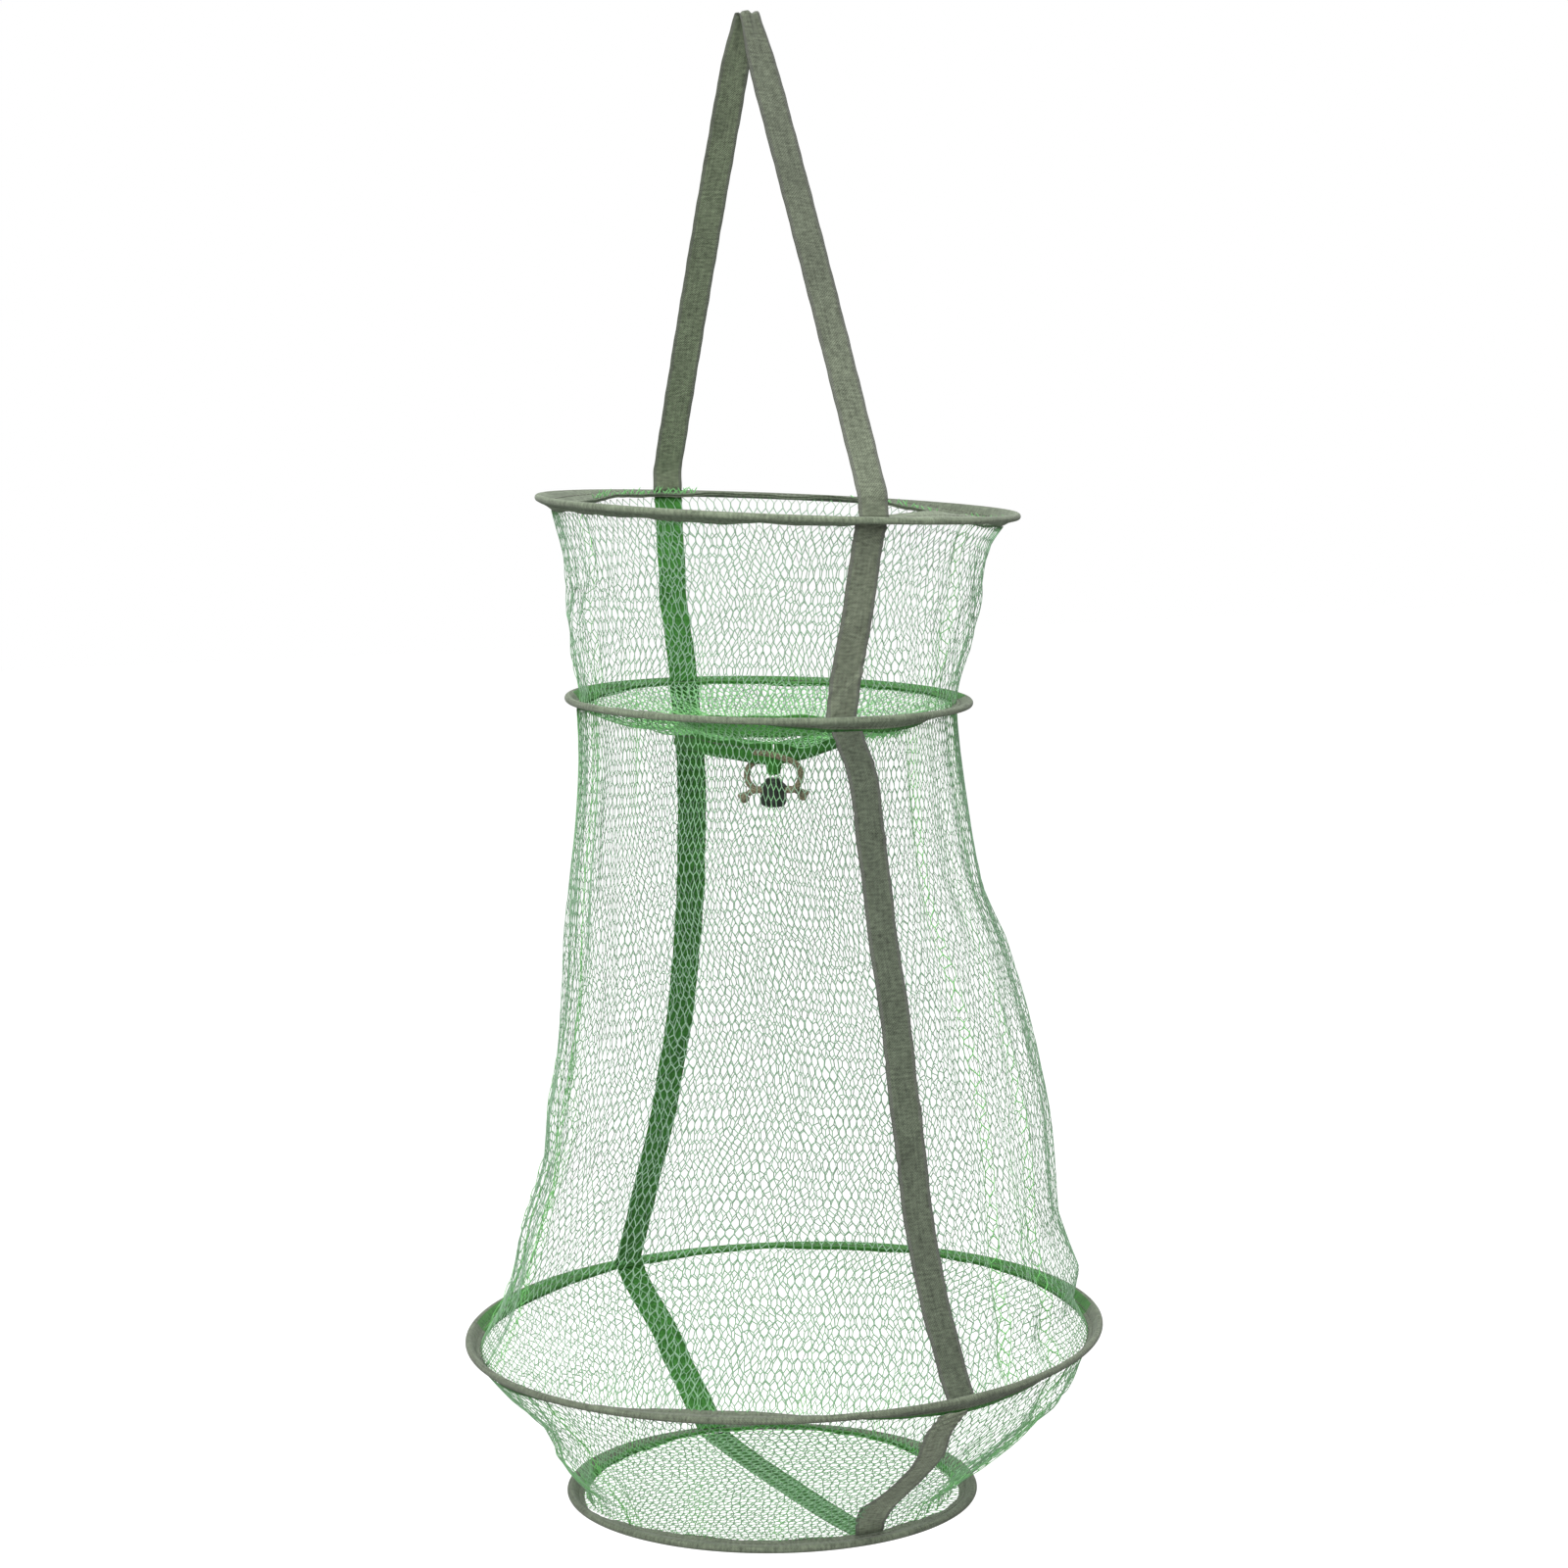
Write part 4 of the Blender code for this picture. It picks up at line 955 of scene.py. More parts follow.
def round_net(name, surface, bunch, columns, rows, parts=1, thread=THREAD_HALF):
    """Netting on surface(turn, share), made in one or more parts from top to bottom."""
    turn, share = net_joints(rows, columns)
    share = share + (1 - SIDE_SHARE)
    loose = np.random.default_rng(columns * rows)
    turn = (turn + loose.normal(0.0, 0.075, turn.shape)) / columns
    share[1:-1] += loose.normal(0.0, 0.065, share[1:-1].shape)
    share = share / (rows + 1 - 2 * SIDE_SHARE)
    small = 1e-3
    round_it = surface(turn + small, share) - surface(turn - small, share)
    down = (surface(turn, np.minimum(share + small, 1))
            - surface(turn, np.maximum(share - small, 0)))
    joints = surface(turn, share).reshape(-1, 3)
    normals = unit(np.cross(down, round_it)).reshape(-1, 3)
    bunched = bunch(turn, share).ravel()
    cuts = np.linspace(0, rows, parts + 1).astype(int)
    made = []
    for part, (first, last) in enumerate(zip(cuts[:-1], cuts[1:])):
        cells = net_cells(np.arange(first, last)[:, None], np.arange(columns), columns)
        used, numbers = np.unique(cells, return_inverse=True)
        label = name if parts == 1 else name + "_" + "abc"[part]
        made.append(knit(label, joints[used], normals[used], bunched[used],
                         numbers.reshape(cells.shape), thread))
    return made


# %% Netting of a sleeve
def sleeve_net(word, sleeve, columns, rows, parts=1, thread=THREAD_HALF, green=0.0):
    """The netting of one sleeve, gathered and folded, with slightly wandering meshes.

    The meshes are a little wider at the bag's two slack sides, by a sine of twice the angle.
    """
    def wave(turn, share, round_it, down, phase=0.0):
        return np.sin(2 * np.pi * (round_it * turn + down * share) + phase)

    def spread(turn, share):
        wander = 0.016 * wave(turn, share, 3, 1.1) + 0.010 * wave(turn, share, 8, -2.0, 1.0) \
            + 0.006 * wave(turn, share, 17, 5.0)
        angle = sleeve.gather(turn % 1.0, share) + 2 * np.pi * np.floor(turn)
        wider = 0.07 * np.sin(2 * (angle - SLACK_SIDE))
        return angle + (wander + wider) * np.sin(np.pi * share)

    def surface(turn, share):
        drop = ripple(turn, [(2, 0.6, 0.9), (5, 2.0, 0.6), (13, 0.3, 0.30)]) * rows / 58 \
            + 0.22 * wave(turn, share, 6, rows / 9) + 0.16 * wave(turn, share, -11, rows / 6)
        drop = drop / rows * np.sin(np.pi * share)
        return sleeve.place(spread(turn, share), np.clip(share + drop, 0, 1))

    def bunch(turn, share):
        return np.clip(green + sleeve.bunch(spread(turn, share), share), 0.0, 1.0)

    for piece in round_net(word + "_netting", surface, bunch, columns, rows, parts, thread):
        sleeve.hang_piece(piece, "green_net", word + "_net")


# %% The three sleeves' netting
sleeve_net("upper", upper_sleeve, 150, 16, thread=0.00025)
sleeve_net("main", main_sleeve, 192, 58, parts=3)
sleeve_net("lower", lower_sleeve, 192, 18, thread=0.00028, green=0.25)

# %% [markdown]
# ## The throat's funnel and its taped hem
#
# Inside the second hoop the same netting runs inward and down to a narrow ring of tape, the
# hem that holds the drawstring. Here the meshes are squeezed most, so the funnel looks dense
# and bright. Its surface is a cone from the hoop's lip to the hem, with the gathers
# growing towards the hem.

# %% Funnel netting
CORD_NOSE = CORD_RADIUS + COVER
HEM_LIP = 0.0090
HEM_CENTRE = 0.0490 - CORD_NOSE
HEM_HEIGHT = CORD_NOSE - 0.0250
SQUEEZED_THREAD = 0.00055
FUNNEL_WAVES = [(11, 0.3, 0.0011), (17, 1.4, 0.0008), (26, 2.0, 0.0006)]


def hem_lift(angle):
    """The hem's rise and fall round the circle: low at the cords' exit, high on its right."""
    return -0.0036 * bell(angle, -22.0, 26.0) + 0.0058 * bell(angle, 44.0, 36.0)


def funnel_surface(turn, share):
    """A cone from the throat's lip to the hem, rippled more and more towards the hem."""
    angle = 2 * np.pi * turn + 0.020 * share * ripple(turn, [(11, 0.0, 1.0), (17, 1.0, 0.8)])
    start_radius, start_height = throat.on_fold(angle, throat.lip + 0.0002, 0.0)
    end_height = HEM_HEIGHT + HEM_LIP - 0.001 + hem_lift(angle)
    radius = start_radius + (HEM_CENTRE - start_radius) * share
    sag = 0.0035 * np.sin(np.pi * share)
    height = start_height + (end_height - start_height) * share - sag
    height = height + share * (1.02 - share) * 4 * ripple(turn, FUNNEL_WAVES)
    return throat.place(radius, angle, height)


def funnel_bunch(turn, share):
    """The funnel is bunched everywhere, and most at the hem."""
    return 0.45 + 0.55 * share + 0.0 * turn


funnel, = round_net("funnel_netting", funnel_surface, funnel_bunch, 150, 11,
                    thread=SQUEEZED_THREAD)
dress(funnel, throat.body, "throat_net")

# %% [markdown]
# The hem is tape folded up over the drawstring, so its section is the binding's turned
# upright: a round nose at the bottom and an open lip at the top. Its ends nearly meet at the
# front, where the drawstring comes out, and the hem dips there under the cords' pull.
# A short tongue of the same tape hangs at the exit and hides where the cords leave the hem.

# %% Hem
EXIT = math.radians(-22.0)
HEM_SLIT = math.radians(0.4)
HEM_NOSE = 0.0023
HEM_SEAM = 0.0048
TONGUE_DROP, TONGUE_OUT, TONGUE_ROUND = 0.0085, 0.0020, 0.021
TONGUE_HALF_WIDE, TONGUE_HALF_THICK = 0.0046, 0.0021
across_exit, out_of_exit = round_at(EXIT), outward_at(EXIT)


def hem_section():
    """The hem as a closed loop of (outward, up) points round the drawstring's centre."""
    run = np.array([1.0, 0.9, 0.75, 0.62, 0.52, 0.42, 0.30, 0.16, 0.05]) * HEM_LIP
    half = HEM_NOSE + (LIP_HALF - HEM_NOSE) * soft_step(run, 0.0, 0.55 * HEM_LIP)
    half = half - 0.00025 * bump(run - HEM_SEAM, SEAM_WIDE)
    turns = np.radians(np.linspace(0, -180, 11))
    bottom_edge = HEM_NOSE * np.stack([np.cos(turns), np.sin(turns)], axis=1)
    slit = np.array([[-0.0002, HEM_LIP], [0.0, HEM_LIP - 0.0011], [0.0002, HEM_LIP]])
    right = np.stack([half, run], 1)
    return np.vstack([right, bottom_edge, right[::-1] * [-1, 1], slit])


hem_angle = np.linspace(EXIT + HEM_SLIT, EXIT + 2 * np.pi - HEM_SLIT, 190)
section = hem_section()
hem_share = (hem_angle - EXIT) / (2 * np.pi)
hem_wave = ripple(hem_share, [(8, 0.2, 0.0005), (13, 1.1, 0.0004), (31, 0.5, 0.0002)])
hem_rise = ripple(hem_share, [(5, 1.0, 0.0006), (12, 0.3, 0.0003)]) \
    * np.sin(np.pi * hem_share) ** 0.5 + hem_lift(hem_angle)
lift = np.clip(section[:, 1] / HEM_LIP, 0, 1)
hem_grid = throat.place(HEM_CENTRE + section[:, 0] + hem_wave[:, None] * (0.4 + 0.6 * lift),
                        hem_angle[:, None], HEM_HEIGHT + section[:, 1] + hem_rise[:, None])
hem = grid_piece("hem_tape", hem_grid, green_side, hem_angle * HEM_CENTRE,
                 lengths_round(section))
dress(hem, throat.body, "throat_collar")

# %% Tongue at the exit
tongue_turn = full_turn(24)
tongue_down = np.linspace(0, 1, 12)
tongue_size = 1.0 - 0.30 * tongue_down - 0.25 * (tongue_down > 0.97)
tongue_top = throat.place(HEM_CENTRE, np.array(EXIT), HEM_HEIGHT - 0.0020)
tongue_line = tongue_top + tongue_down[:, None] * (out_of_exit * TONGUE_OUT - UP * TONGUE_DROP)
tongue_grid = tongue_line[:, None] + tongue_size[:, None, None] * (
    TONGUE_HALF_WIDE * np.cos(tongue_turn)[:, None] * across_exit
    + TONGUE_HALF_THICK * np.sin(tongue_turn)[:, None] * out_of_exit)
tongue = grid_piece("hem_tongue", tongue_grid, green_side, tongue_down * TONGUE_DROP,
                    np.linspace(0, TONGUE_ROUND, len(tongue_turn) + 1))
dress(tongue, throat.body)

# %% The hem's stitches
hem_count = int((hem_angle[-1] - hem_angle[0]) * HEM_CENTRE / STITCH_PITCH)
seam_angle = np.linspace(hem_angle[0] + 0.03, hem_angle[-1] - 0.03, hem_count)
seam_wave, seam_rise = (np.interp(seam_angle, hem_angle, row) for row in (hem_wave, hem_rise))
seam_middle = throat.place(HEM_CENTRE + 0.00098 + seam_wave * 0.7, seam_angle,
                           HEM_HEIGHT + HEM_SEAM + seam_rise)
hem_stitches = stitch_row("hem_stitches", seam_middle, round_at(seam_angle),
                          outward_at(seam_angle), stitch_thread)
dress(hem_stitches, throat.body)

# %% [markdown]
# ## Net floor
#
# The bottom is a round piece of the same netting, sewn into the lowest hoop. A disc has no
# direction round it, so the meshes are laid as a flat sheet, the ones outside the circle are
# left out, and the joints past the rim are drawn back to it. It sags a little in the middle.

# %% Floor netting
MESH_WIDE, MESH_ROW = 0.0048, 0.0057
FLOOR_SEWN = 0.0012
FLOOR_COLUMNS, FLOOR_ROWS = 44, 38
floor_radius = bottom.wire - bottom.lip + FLOOR_SEWN


def floor_net():
    """A flat hexagon net trimmed to a circle, with a shallow sag: depth times 1 - r squared."""
    wide = FLOOR_COLUMNS + 2
    joints = np.stack(net_joints(FLOOR_ROWS, wide), axis=-1).reshape(-1, 2)
    cells = net_cells(np.arange(FLOOR_ROWS)[:, None], np.arange(1, FLOOR_COLUMNS), wide)
    flat = (joints - [FLOOR_COLUMNS / 2, FLOOR_ROWS / 2]) * [MESH_WIDE, MESH_ROW]
    middle = flat[cells].mean(axis=1)
    cells = cells[np.linalg.norm(middle, axis=1) < floor_radius - FLOOR_SEWN]
    used, numbers = np.unique(cells, return_inverse=True)
    flat = flat[used]
    reach = np.linalg.norm(flat, axis=1)
    flat = flat * np.minimum(1.0, floor_radius / np.maximum(reach, 1e-9))[:, None]
    share = np.linalg.norm(flat, axis=1) / floor_radius
    sag = -0.0022 * (1 - share ** 2) + 0.0004 * np.sin(flat[:, 0] * 160) * (1 - share)
    angle = np.arctan2(flat[:, 1], flat[:, 0])
    rim_radius, rim_height = bottom.on_fold(angle, bottom.lip - FLOOR_SEWN, 0.0)
    points = bottom.place(share * rim_radius, angle, sag + share ** 4 * rim_height)
    return knit("floor_netting", points, np.tile(UP, (len(points), 1)),
                0.3 + 0.7 * soft_step(share, 0.90, 1.0), numbers.reshape(cells.shape),
                SQUEEZED_THREAD)


dress(floor_net(), bottom.body, "bottom_net")

# %% [markdown]
# ## Straps and handle
#
# One long woven band makes the handle, both side straps and the strap under the bottom. A
# tape is a thin section with rounded edges, carried along a line. It is never quite flat:
# its middle is cupped a little, and its edges wander by a fraction of a millimetre. The side
# straps lie on the outside of the sleeves, so they use the sleeve's own surface.

# %% Tape along a line
TAPE_THICK = 0.0007
TAPE_LOOP = 11
TAPE_CUP = 0.00025


def tape_section():
    """Half-width shares across a tape and the side of each point: out, then back."""
    turns = np.linspace(-np.pi / 2, np.pi / 2, TAPE_LOOP)
    across, thick = np.sin(turns), np.cos(turns) ** 0.25
    out = np.concatenate([across, across[::-1][1:-1]])
    thick = np.concatenate([thick, -thick[1:-1]])
    thick[[0, TAPE_LOOP - 1]] = 0.0
    return out, thick


def tape_piece(name, centres, sideways, normals, material, crease=None, lining=None,
               narrow=0.0):
    """A tape with its middle line, its sideways directions and its outward normals.

    A section point is the centre, plus its share of the half width sideways, plus half the
    thickness outwards, less a cup that grows with the square of that share. A lining is a
    second material for the face away from the normals.
    """
    out, thick = tape_section()
    along = lengths_along(centres)
    edge = 1 + ripple(along, [(38, 0.5, 0.012), (91, 1.0, 0.008)]) - narrow
    wide = (TAPE_HALF * edge)[:, None] * out
    lift = thick * TAPE_THICK / 2 - TAPE_CUP * out ** 2
    if crease is not None:
        lift = lift + crease(along[:, None], wide)
    lift = np.broadcast_to(lift, wide.shape)
    grid = centres[:, None] + sideways[:, None] * wide[..., None] \
        + normals[:, None] * lift[..., None]
    if lining is not None:
        lining = (lining, np.arange(len(out)) >= TAPE_LOOP - 1)
    return grid_piece(name, grid, material, along, np.append(out, out[0]) * TAPE_HALF,
                      lining=lining)


def frame_along(centres, sideways):
    """Normals square to a line and to its sideways directions."""
    return unit(np.cross(sideways, np.gradient(centres, axis=0)))


# %% A strap that lies on a sleeve
def tape_puckers(along, wide):
    """Small cross creases near the upper end, which die out over two centimetres."""
    fade = bump(along, 0.014)
    return 0.00035 * fade * ripple(along + 0.35 * wide, [(230, 0.0, 1.0), (410, 1.0, 0.5)])


def side_strap(face, word, sleeve, shares, degrees, twist=0.0, lining=None, tape=strap_tape,
               creases=()):
    """A strap down a sleeve: the angle at each share of the height is read from a list.

    It may twist about its own length by a bell-shaped angle near its foot. creases are
    (along, slant, height, width): bell-shaped ridges along slanted lines.
    """
    share = np.linspace(0, 1, 150)
    angle = np.radians(np.interp(share, shares, degrees))
    soft = np.convolve(np.pad(angle, 4, mode="edge"), np.ones(9) / 9, mode="valid")
    offset = 0.0014 + 0.0004 * np.sin(13 * share + 1.0) * np.sin(np.pi * share)
    centre = sleeve.place(soft, share, offset, 0.0, folds=False)
    right = unit(sleeve.place(soft, share, offset, 0.004, folds=False) - centre)
    normals = frame_along(centre, right)
    normals = normals * np.sign(np.sum(normals * outward_at(soft), axis=1))[:, None]
    turned = math.radians(twist) * bump(share - 0.80, 0.12)[:, None]
    right, normals = (right * np.cos(turned) + normals * np.sin(turned),
                      normals * np.cos(turned) - right * np.sin(turned))

    def surface_relief(along, wide):
        return tape_puckers(along, wide) + sum(
            height * bump(along - at + slant * wide, width)
            for at, slant, height, width in creases)

    piece = tape_piece(f"{face}_tape_{word}", centre, right, normals, tape, surface_relief,
                       lining)
    sleeve.hang_piece(piece, "olive_tape", f"{face}_strap_{word}")


# %% Side straps
side_strap("front", "upper", upper_sleeve, (0, 0.26, 0.39, 0.64, 0.76, 0.89, 1),
           (-1.5, -1.5, -1.8, -2.8, -3.3, -3.5, -4.0), tape=handle_tape,
           creases=((0.087, 1.5, 0.0014, 0.0018), (0.076, 1.2, 0.0007, 0.0018),
                    (0.050, 0.5, 0.0004, 0.0025)))
side_strap("front", "main", main_sleeve,
           (0, 0.02, 0.065, 0.122, 0.18, 0.24, 0.30, 0.36, 0.415, 0.475, 0.53, 0.59, 0.65,
            0.71, 0.765, 0.82, 0.88, 0.94, 1),
           (-3.0, -0.8, 2.3, 2.9, 3.3, 4.0, 3.3, 2.5, 1.7, 0.4, -0.6, -0.8, -0.4, 0.4, 1.9, 3.7,
            5.2, 7.3, 8.4),
           creases=((0.0105, -0.7, 0.0014, 0.0015), (0.030, 0.6, 0.0005, 0.0025),
                    (0.048, -0.8, 0.0010, 0.0016), (0.176, -1.5, 0.0014, 0.0017),
                    (0.204, 1.25, 0.0014, 0.0017)))
# The front lower strap faces down and wears the brighter copy of the tape, with painted light.
side_strap("front", "lower", lower_sleeve,
           (0, 0.13, 0.22, 0.31, 0.40, 0.49, 0.58, 0.68, 0.77, 0.87, 1),
           (6.0, 4.2, 4.0, 4.2, 3.8, 2.6, 1.8, 0.9, -0.2, 1.6, 5.0), twist=12.0,
           tape=painted_light_strap)
for word, sleeve, shares, degrees in (
        ("upper", upper_sleeve, (0, 0.26, 0.53, 0.75, 0.92, 1),
         (186.0, 186.8, 186.3, 185.2, 183.8, 183.2)),
        ("main", main_sleeve, (0, 0.03, 0.13, 0.23, 0.33, 0.5, 0.67, 0.84, 1),
         (183.0, 182.6, 180.6, 179.8, 180.5, 184.9, 188.0, 188.1, 188.3)),
        ("lower", lower_sleeve, (0, 0.11, 0.36, 0.6, 0.89, 1),
         (187.6, 186.9, 185.1, 182.8, 177.0, 174.3))):
    side_strap("back", word, sleeve, shares, degrees, lining=green_side)

# %% [markdown]
# The strap under the floor joins the feet of both side straps. It is pulled flat against the
# net, and its ends are sewn under the hoop's lip.

# %% Strap under the floor
UNDER_IN = bottom.lip - 0.003
front_end, back_end = (
    bottom.place(radius, angle, height)
    for angle in (bottom.front, bottom.back)
    for radius, height in [bottom.on_fold(angle, UNDER_IN,
                                          -fold_half(UNDER_IN, bottom.lip) - 0.0008)])
share = np.linspace(0, 1, 60)
under = front_end + (back_end - front_end) * share[:, None]
under[:, 2] -= 0.0030 * np.sin(np.pi * share) + 0.0004 * np.sin(9 * share)
beside = np.tile(np.cross(UP, unit(back_end - front_end)), (len(share), 1))
downward = frame_along(under, beside)
downward = -downward * np.sign(downward[:, 2:])
bottom_tape = tape_piece("bottom_tape", under, beside, downward, strap_tape,
                         lining=green_side)
dress(bottom_tape, bottom.body, "bottom_strap")

# %% [markdown]
# The handle is an upside-down V. The band runs up from the front of the mouth hoop, bends
# over tightly at the top, where it hangs, and comes down to the back of the hoop. Both feet
# turn in behind the binding and are sewn to it. The imported handle swings about its feet;
# the tape stays where it is built and hides the imported handle.

# %% Handle
FOOT_FRONT = np.array([0.119702, 0.013865, -0.242221])
FOOT_BACK = np.array([-0.119192, 0.005523, -0.241857])
LANDING_IN = 0.0046
HANDLE_TOP = 0.00045
BEND = 0.0014 + HANDLE_TOP
PLEAT = 0.0064


def landing(angle):
    """The point on top of the mouth's lip where a foot of the handle is sewn."""
    radius, height = mouth.on_fold(angle, LANDING_IN,
                                   fold_half(LANDING_IN, mouth.lip) + 0.0006)
    return mouth.place(radius, angle, height)


def handle_half(foot, end):
    """Half of the handle's middle line as (along, up) in its own plane.

    A flat bit at the top, an arc, a leg with a slight bow, and then a smooth step that leads
    the last centimetre in to the lip.
    """
    corner = np.array([0.0012, HANDLE_TOP - BEND])
    reach = foot - corner
    slope = math.atan2(-reach[1], reach[0]) + math.asin(BEND / np.linalg.norm(reach))
    turns = np.linspace(0, slope, 9)
    arc = corner + BEND * np.stack([np.sin(turns), np.cos(turns)], axis=1)
    t = np.linspace(0, 1, 160)[1:, None]
    leg = arc[-1] + (foot - arc[-1]) * t
    normal = np.array([math.sin(slope), math.cos(slope)])
    leg = leg + normal * 0.0016 * np.sin(np.pi * t) + (end - foot) * soft_step(t, 0.955, 1.0)
    return np.vstack([[0.0, HANDLE_TOP], arc, leg])


# %% The handle's middle line
spread = (FOOT_FRONT - FOOT_BACK)[:2]
plane = np.array([*unit(spread), 0.0])
low = max(FOOT_FRONT[2], FOOT_BACK[2])
slant = np.array([*(FOOT_FRONT + FOOT_BACK)[:2] / 2, 0.0]) / (low + TAPE_HALF)
foot = np.array([np.linalg.norm(spread) / 2, low])
halves = []
for mirror, end_point in ((-1, landing(mouth.back)), (1, landing(mouth.front))):
    sewn = mirror * float(np.dot(end_point - slant * end_point[2], plane))
    halves.append(handle_half(foot, np.array([sewn, end_point[2]])) * [mirror, 1])
outline = np.vstack([halves[0][:0:-1], halves[1]])
handle_line = outline[:, :1] * plane + outline[:, 1:] * UP \
    + slant * np.minimum(outline[:, 1:], 0.0)
handle_side = np.tile([-plane[1], plane[0], 0.0], (len(outline), 1))
handle_up = frame_along(handle_line, handle_side)
handle_up = handle_up * np.sign(handle_up[len(outline) // 2, 2])
handle_length = lengths_along(handle_line)
top_length = handle_length[len(halves[0]) - 1]
pinch = 0.34 * bump(handle_length - top_length, 0.020)


# %% The handle's band
def top_crease(along, wide):
    """Pleats that run down from the pinched top, a long pressed crease and a short wrinkle."""
    below = along - top_length
    pleats = 0.0009 * bump(below, 0.022) * np.cos(2 * np.pi * wide / PLEAT + 0.6)
    fade = soft_step(below, 0.004, 0.012) * (1 - soft_step(below, 0.030, 0.075))
    line = bump(wide - 0.0012 + 0.03 * below, 0.0011)
    wrinkle = 0.00030 * bump(below + 0.098 + 0.9 * wide, 0.0016)
    return pleats - 0.0009 * fade * line + wrinkle


handle = tape_piece("handle_band", handle_line, handle_side, handle_up, handle_tape,
                    crease=top_crease, lining=handle_inside, narrow=pinch)
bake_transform(handle)
dress(handle, node="handle_strap")
print("length of the handle's band:", round(float(handle_length[-1]), 3))

# %% [markdown]
# ## Drawstring
#
# The drawstring lies in the hem, comes out of the opening at the front, crosses over itself,
# makes a small loop on each side and runs back through the cord lock. Each tail ends in a
# stopper knot. The route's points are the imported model's. The cord is a tube whose radius
# swells and shrinks in a braid: two sets of ridges that wind in opposite directions.

# %% Cord routes
HALF_OPENING = math.radians(13.0)
CORD_APART = CORD_RADIUS + CLEAR
LOCK_DROP = 0.0182
LOOPS = {
    1: [(-0.0035, 0.0008, -0.0002), (0.0, 0.0020, -0.0006), (0.0035, 0.0029, -0.0013),
        (0.0070, 0.0034, -0.0023), (0.0120, 0.0034, -0.0039), (0.0156, 0.0031, -0.0069),
        (0.0169, 0.0028, -0.0108), (0.0158, 0.0024, -0.0147), (0.0130, 0.0020, -0.0173)],
    -1: [(-0.0035, -0.0006, -0.0005), (0.0, -0.0018, -0.0013), (0.0035, -0.0029, -0.0024),
         (0.0070, -0.0036, -0.0034), (0.0120, -0.0036, -0.0049), (0.0153, -0.0032, -0.0075),
         (0.0165, -0.0028, -0.0113), (0.0153, -0.0024, -0.0151), (0.0127, -0.0020, -0.0174)]}
exit_axes = np.stack([across_exit, out_of_exit, UP])
exit_middle = throat.place(HEM_CENTRE, np.array(EXIT), HEM_HEIGHT)
print("the cords leave the hem at", [round(float(v), 4) for v in exit_middle])


def smooth_line(points, spacing):
    """Even points on a Catmull-Rom curve: each stretch is a cubic of four neighbours."""
    padded = np.vstack([2 * points[0] - points[1], points, 2 * points[-1] - points[-2]])
    t = np.linspace(0, 1, 24, endpoint=False)[None, :, None]
    p0, p1, p2, p3 = (padded[k:len(padded) - 3 + k, None] for k in range(4))
    fine = 0.5 * (2 * p1 + (p2 - p0) * t + (2 * p0 - 5 * p1 + 4 * p2 - p3) * t ** 2
                  + (3 * p1 - p0 - 3 * p2 + p3) * t ** 3)
    fine = np.vstack([fine.reshape(-1, 3), points[-1:]])
    at = lengths_along(fine)
    wanted = np.linspace(0, at[-1], max(2, round(at[-1] / spacing)) + 1)
    return np.stack([np.interp(wanted, at, fine[:, k]) for k in range(3)], axis=1)


def tail_line(side):
    """A tail's middle line: square out of the hem, then along its route.

    The loops are drawn in to four fifths. The run through the lock stays straight, a little
    longer than the lock with its slide.
    """
    end = np.array([-HEM_CENTRE * math.sin(HALF_OPENING),
                    -HEM_CENTRE * (1 - math.cos(HALF_OPENING)), 0.0])
    ahead = np.array([math.cos(HALF_OPENING), math.sin(HALF_OPENING), 0.0])
    straight = [(x, side * CORD_APART, -LOCK_DROP)
                for x in (0.0095, 0.0050, 0.0, -0.0050, -0.0085)]
    points = np.vstack([end + ahead * CLEAR, end + ahead * (CLEAR + CORD_DIAMETER),
                        LOOPS[side], straight, [(-0.0117, side * 0.0023, -0.0187),
                                                (-0.0146, side * 0.0033, -0.0198)]])
    reach = np.ones(len(points))
    reach[2:11], reach[-3:] = 0.80, (1.03, 0.94, 0.88)
    points[:, 0] *= side * reach
    return exit_middle + smooth_line(points, 0.0008) @ exit_axes


# %% A braided tube
def round_cord(turn):
    """Distances round the cord, for the sides of a tube and the closing one."""
    return np.linspace(0, 2 * np.pi * CORD_RADIUS, len(turn) + 1)


def cord_tube(name, line, radius, material, rib=0.035):
    """A tube along a line, braided: its radius falls by rib between two sets of windings.

    Each section starts from a nearly level direction, which never flips along the line.
    """
    ahead = unit(np.gradient(line, axis=0))
    along = lengths_along(line)
    sideways = unit(np.cross(ahead, UP) + 0.02 * np.cross(ahead, out_of_exit))
    flips = np.sign(np.einsum("ij,ij->i", sideways[1:], sideways[:-1]))
    sideways[1:] *= np.cumprod(np.where(flips == 0, 1, flips))[:, None]
    turn = full_turn(20)
    wind = 2 * np.pi * along[:, None] / BRAID_PITCH
    ribs = np.maximum(np.sin(BRAID_RIBS * turn + wind), np.sin(BRAID_RIBS * turn - wind))
    rounded = np.minimum(1.0, 0.80 + 0.2 * np.minimum(along, along[-1] - along) / 0.0006)
    size = radius * (1.0 - rib + rib * ribs) * rounded[:, None]
    grid = line[:, None] + size[..., None] * spokes(sideways, np.cross(sideways, ahead), turn)
    return grid_piece(name, grid, material, along, round_cord(turn))


# %% A stopper knot
KNOT_RADIUS = 0.0028


